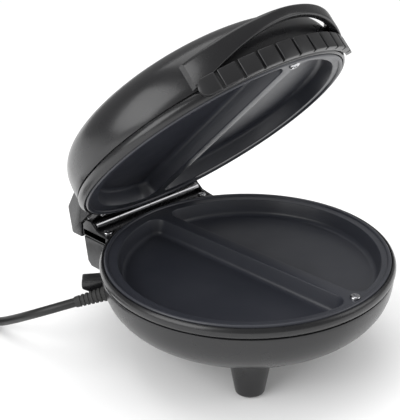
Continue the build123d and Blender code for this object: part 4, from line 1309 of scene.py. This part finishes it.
@dataclass
class StrainRelief:
    """Moulded cone round the cord, with a row of slots along it."""

    length: float = 24.0
    root: float = 5.6
    tip: float = 4.1
    collar_radius: float = 5.0
    collar_length: float = 9.0
    slots: int = 6
    slot_margin: float = 2.5
    slot_share: float = 0.38
    slot_depth: float = 0.7
    facets: int = 48

    def build(self) -> None:
        """Builds the relief along the cord's way out."""
        profile: list[Point2] = [(0.0, -self.collar_length), (self.collar_radius, -self.collar_length)]
        profile.extend([(self.collar_radius, 0.0), (self.root - 0.4, 0.0), (self.root, 0.5)])
        edges = slot_edges(self.length, self.slot_margin, self.slots, self.slot_share, self.slot_depth)
        taper = (self.tip - self.root) / self.length
        profile.extend((self.root + taper * along - drop, along) for along, drop in edges)
        profile.extend([(self.tip, self.length - 0.5), (self.tip - 0.4, self.length), (0.0, self.length)])
        piece = revolved("cord_relief", profile, self.facets)
        way = EXIT_WAY.to_track_quat("Z", "Y").to_matrix().to_4x4()
        piece.data.transform(Matrix.Translation(EXIT * MM) @ way)
        settle(piece, Body.BASE, RUBBER, "plug_plastic", "strain_relief")


@dataclass
class MainsCord:
    """Cord from the relief to the coil beside the machine, as one smooth curve."""

    diameter: float = 7.0
    bends: tuple[Point3, ...] = (
        (-114.4, 91.0, 37.6),
        (-122.5, 108.0, 29.0),
        (-124.5, 131.0, 16.0),
        (-127.0, 153.0, 5.0),
        (-133.5, 172.6, 3.5),
        (-143.5, 189.9, 3.5),
    )
    coil_start: Point3 = (-147.0, 196.0, 3.5)
    heading: float = 120.0
    widest: float = 42.0
    step_in: float = 1.9
    ramp_radius: float = 32.5
    ramp_rise: float = 7.5
    tail: float = 7.0
    per_quarter: int = 4

    def quarters(self) -> list[tuple[float, float]]:
        """Radius and climb angle of each quarter turn."""
        inwards = [(self.widest - self.step_in * index, 0.0) for index in range(5)]
        climb = math.asin(self.ramp_rise / (2 * self.ramp_radius))
        return [*inwards, (self.ramp_radius, climb), (self.ramp_radius, -climb), *inwards[::-1]]

    def coil_points(self) -> tuple[list[Vector], Vector, Vector]:
        """Control points of the coil, the point where it ends and the way the cord leaves it."""
        up = Vector((0, 0, 1))
        place = Vector(self.coil_start)
        turn = math.radians(self.heading)
        forward = Vector((math.cos(turn), math.sin(turn), 0))
        points: list[Vector] = []
        ramp_way = forward
        for radius, climb in self.quarters():
            if climb > 0:
                ramp_way = forward.copy()
                inward = up.cross(forward) * math.cos(climb) + up * math.sin(climb)
            elif climb < 0:
                inward = -ramp_way
            else:
                inward = up.cross(forward)
            centre = place + inward * radius
            part = math.pi / 2 / self.per_quarter
            reach = radius / math.cos(part / 2)
            for step in range(self.per_quarter):
                angle = (step + 0.5) * part
                points.append(centre + (forward * math.sin(angle) - inward * math.cos(angle)) * reach)
            place = place + (forward + inward) * radius
            forward = inward
        return points, place + forward * self.tail, forward

    def build(self, tip: Vector) -> tuple[Piece, Vector, Vector]:
        """Builds the cord.

        Args:
            tip: Where it leaves the relief.

        Returns:
            The cord, the point where its plug starts and the way the plug points.
        """
        coil, end, way = self.coil_points()
        route = [tip, *[Vector(point) for point in self.bends], *coil, end]
        curve = bpy.data.curves.new("mains_lead", "CURVE")
        curve.dimensions = "3D"
        curve.bevel_depth = self.diameter / 2 * MM
        curve.bevel_resolution = 5
        curve.use_fill_caps = True
        spline = curve.splines.new("NURBS")
        spline.points.add(len(route) - 1)
        for point, place in zip(spline.points, route):
            point.co = (*(place * MM), 1.0)
        spline.order_u = 3
        spline.use_endpoint_u = True
        spline.resolution_u = 6
        piece = add_object("mains_lead", curve)
        settle(piece, Body.BASE, CORD_JACKET, "cord_rubber", "mains_cord", "cord_coil")
        return piece, end, way


@dataclass
class PlugBody:
    """Moulded plug with a slotted sleeve and a stepped grip."""

    sleeve_root: float = 3.7
    sleeve_end: float = 6.5
    sleeve_length: float = 30.0
    nose: float = 14.0
    width: float = 24.0
    height: float = 21.0
    length: float = 28.0
    corner: float = 5.0
    slots: int = 6
    slot_margin: float = 3.0
    slot_share: float = 0.4
    slot_depth: float = 0.8

    def levels(self) -> list[tuple[float, float, float, float]]:
        """Place along the plug, width, height and corner radius of each section."""
        root, end = 2 * self.sleeve_root, 2 * self.sleeve_end
        places = [(0.0, root - 0.8), (0.5, root)]
        edges = slot_edges(self.sleeve_length, self.slot_margin, self.slots, self.slot_share, self.slot_depth)
        for along, drop in edges:
            places.append((along, root + (end - root) * along / self.sleeve_length - 2 * drop))
        places.append((self.sleeve_length, end))
        sleeve = [(along, size, size, ROUND_CORNER) for along, size in places]
        face = self.sleeve_length + self.length
        shoulder = self.sleeve_length + self.length / 3
        return [
            *sleeve,
            (self.sleeve_length + 0.4, self.nose, self.nose, self.corner),
            (shoulder, self.width, self.height, self.corner),
            (face - 2.0, self.width, self.height, self.corner),
            (face - 0.6, self.width - 1.2, self.height - 1.2, self.corner - 0.6),
            (face, self.width - 4.0, self.height - 4.0, self.corner - 2.0),
        ]

    def build(self, start: Vector, way: Vector) -> Piece:
        """Builds the plug from its sleeve to its face."""
        up = Vector((0, 0, 1))
        side = up.cross(way)
        sections: list[Section] = []
        for along, width, height, corner in self.levels():
            radius = min(corner, width / 2 - 0.01, height / 2 - 0.01)
            section: Section = []
            for quadrant in range(4):
                sign_a = 1 if quadrant in (0, 3) else -1
                sign_b = 1 if quadrant in (0, 1) else -1
                for step in range(9):
                    turn = math.pi / 2 * (quadrant + step / 8)
                    a = sign_a * (width / 2 - radius) + radius * math.cos(turn)
                    b = sign_b * (height / 2 - radius) + radius * math.sin(turn)
                    section.append(tuple(start + way * along + side * a + up * b))
            sections.append(section)
        piece = lofted("plug_moulding", sections, crease=40.0)
        settle(piece, Body.BASE, PLUG, "plug_plastic", "plug_body")
        return piece


# ------------------------------------------------------------------ studio
@dataclass
class Studio:
    """White floor, soft lights and the camera that matches the photograph.

    The camera's place and the floor are in millimetres; the lights' places and sizes are in metres.
    """

    camera_place: Point3 = (-398.0, -368.5, 354.5)
    right: Point3 = (0.71659, -0.69718, -0.02090)
    up: Point3 = (0.30121, 0.28229, 0.91082)
    back: Point3 = (-0.62911, -0.65898, 0.41228)
    lens: float = 70.85
    sensor: float = 36.0
    floor_half: float = 6000.0
    floor_colour: float = 0.87
    ambient: float = 0.30

    def camera(self) -> None:
        """Places the camera."""
        data = bpy.data.cameras.new("photo_camera")
        data.sensor_fit = "VERTICAL"
        data.sensor_height = self.sensor
        data.lens = self.lens
        data.clip_end = 50.0
        holder = add_object("photo_camera", data)
        matrix = Matrix((self.right, self.up, self.back)).transposed().to_4x4()
        matrix.translation = Vector(self.camera_place) * MM + FRAME_SHIFT
        holder.matrix_world = matrix
        bpy.context.scene.camera = holder

    @staticmethod
    def light(name: str, place: Point3, size: Point2, power: float) -> None:
        """One rectangular soft light that points at the machine's middle."""
        data = bpy.data.lights.new(name, "AREA")
        data.shape = "RECTANGLE"
        data.size, data.size_y = size
        data.energy = power
        holder = add_object(name, data)
        way = (Vector(place) - Vector((0, 0, 60)) * MM).normalized()
        turn = way.to_track_quat("Z", "Y").to_matrix().to_4x4()
        holder.matrix_world = Matrix.Translation(Vector(place)) @ turn

    def floor(self) -> None:
        """The pale floor, which fades into the background far behind."""
        half = self.floor_half
        corners = [(-half, -half, 0), (half, -half, 0), (half, half, 0), (-half, half, 0)]
        mesh = bpy.data.meshes.new("studio_floor")
        mesh.from_pydata([Vector(c) * MM for c in corners], [], [[0, 1, 2, 3]])
        piece = add_object("studio_floor", mesh)
        material, _, shader = node_material("studio_floor_paint")
        shader.inputs["Base Color"].default_value = (*[self.floor_colour] * 3, 1)
        shader.inputs["Roughness"].default_value = 0.7
        shader.inputs["Specular IOR Level"].default_value = 0.0
        piece.data.materials.append(material)

    def world(self) -> None:
        """A white world, which is dimmer where it shows in reflections."""
        world = bpy.data.worlds.new("studio_world")
        world.use_nodes = True
        tree = world.node_tree
        background = tree.nodes["Background"]
        paths = tree.nodes.new("ShaderNodeLightPath")
        strength = tree.nodes.new("ShaderNodeMapRange")
        strength.inputs["To Min"].default_value = 1.0
        strength.inputs["To Max"].default_value = self.ambient
        tree.links.new(paths.outputs["Is Glossy Ray"], strength.inputs["Value"])
        tree.links.new(strength.outputs["Result"], background.inputs["Strength"])
        background.inputs["Color"].default_value = (1, 1, 1, 1)
        bpy.context.scene.world = world

    def build(self) -> None:
        """Builds the floor, the world and the lights."""
        bpy.context.scene.view_settings.view_transform = "Standard"
        self.floor()
        self.world()
        self.light("left_softbox", (-1.25, 0.15, 0.75), (1.1, 1.0), 11.0)
        self.light("top_softbox", (0.15, 0.35, 1.45), (1.2, 1.2), 8.0)
        self.light("front_softbox", (0.9, -1.1, 0.8), (0.9, 0.9), 4.0)


# ------------------------------------------------------------------ the machine
def node_slots() -> dict[str, str]:
    """The material slot that the record gives to each node."""
    return {part["node"]: part["material_slot"] for part in frame["record"]["subparts"]}


def dress_nodes(replaced: set[str]) -> None:
    """Gives every carried-over node the finish of its slot."""
    for name, slot in node_slots().items():
        node = bpy.data.objects.get(name)
        if node is None or name in replaced:
            continue
        dress(node, SLOT_FINISH[slot])


def main() -> None:
    """Builds the machine and the studio."""
    logging.basicConfig(level=logging.INFO, format="%(name)s: %(message)s")
    studio = Studio()
    studio.camera()
    relief = StrainRelief()
    lead, end, way = MainsCord().build(EXIT + EXIT_WAY * relief.length)
    plug = PlugBody().build(end, way)
    relief.build()
    BaseHousing().build()
    BaseBezel().build()
    CookingPlate().build("lower_plate_skin", "lower_cooking_plate", Body.BASE)
    CookingPlate().build("upper_plate_skin", "upper_cooking_plate", Body.LID)
    LidHousing().build()
    LidBezel().build()
    LidHandle().build()
    FrontGrip().build()
    replaced = {
        "mains_cord", "cord_coil", "plug_body", "strain_relief", "base_housing", "base_bezel",
        "lower_cooking_plate", "upper_cooking_plate", "lid_housing", "lid_bezel", "lid_handle", "front_grip",
    }
    dress_nodes(replaced)
    studio.build()


if __name__ == "__main__":
    main()
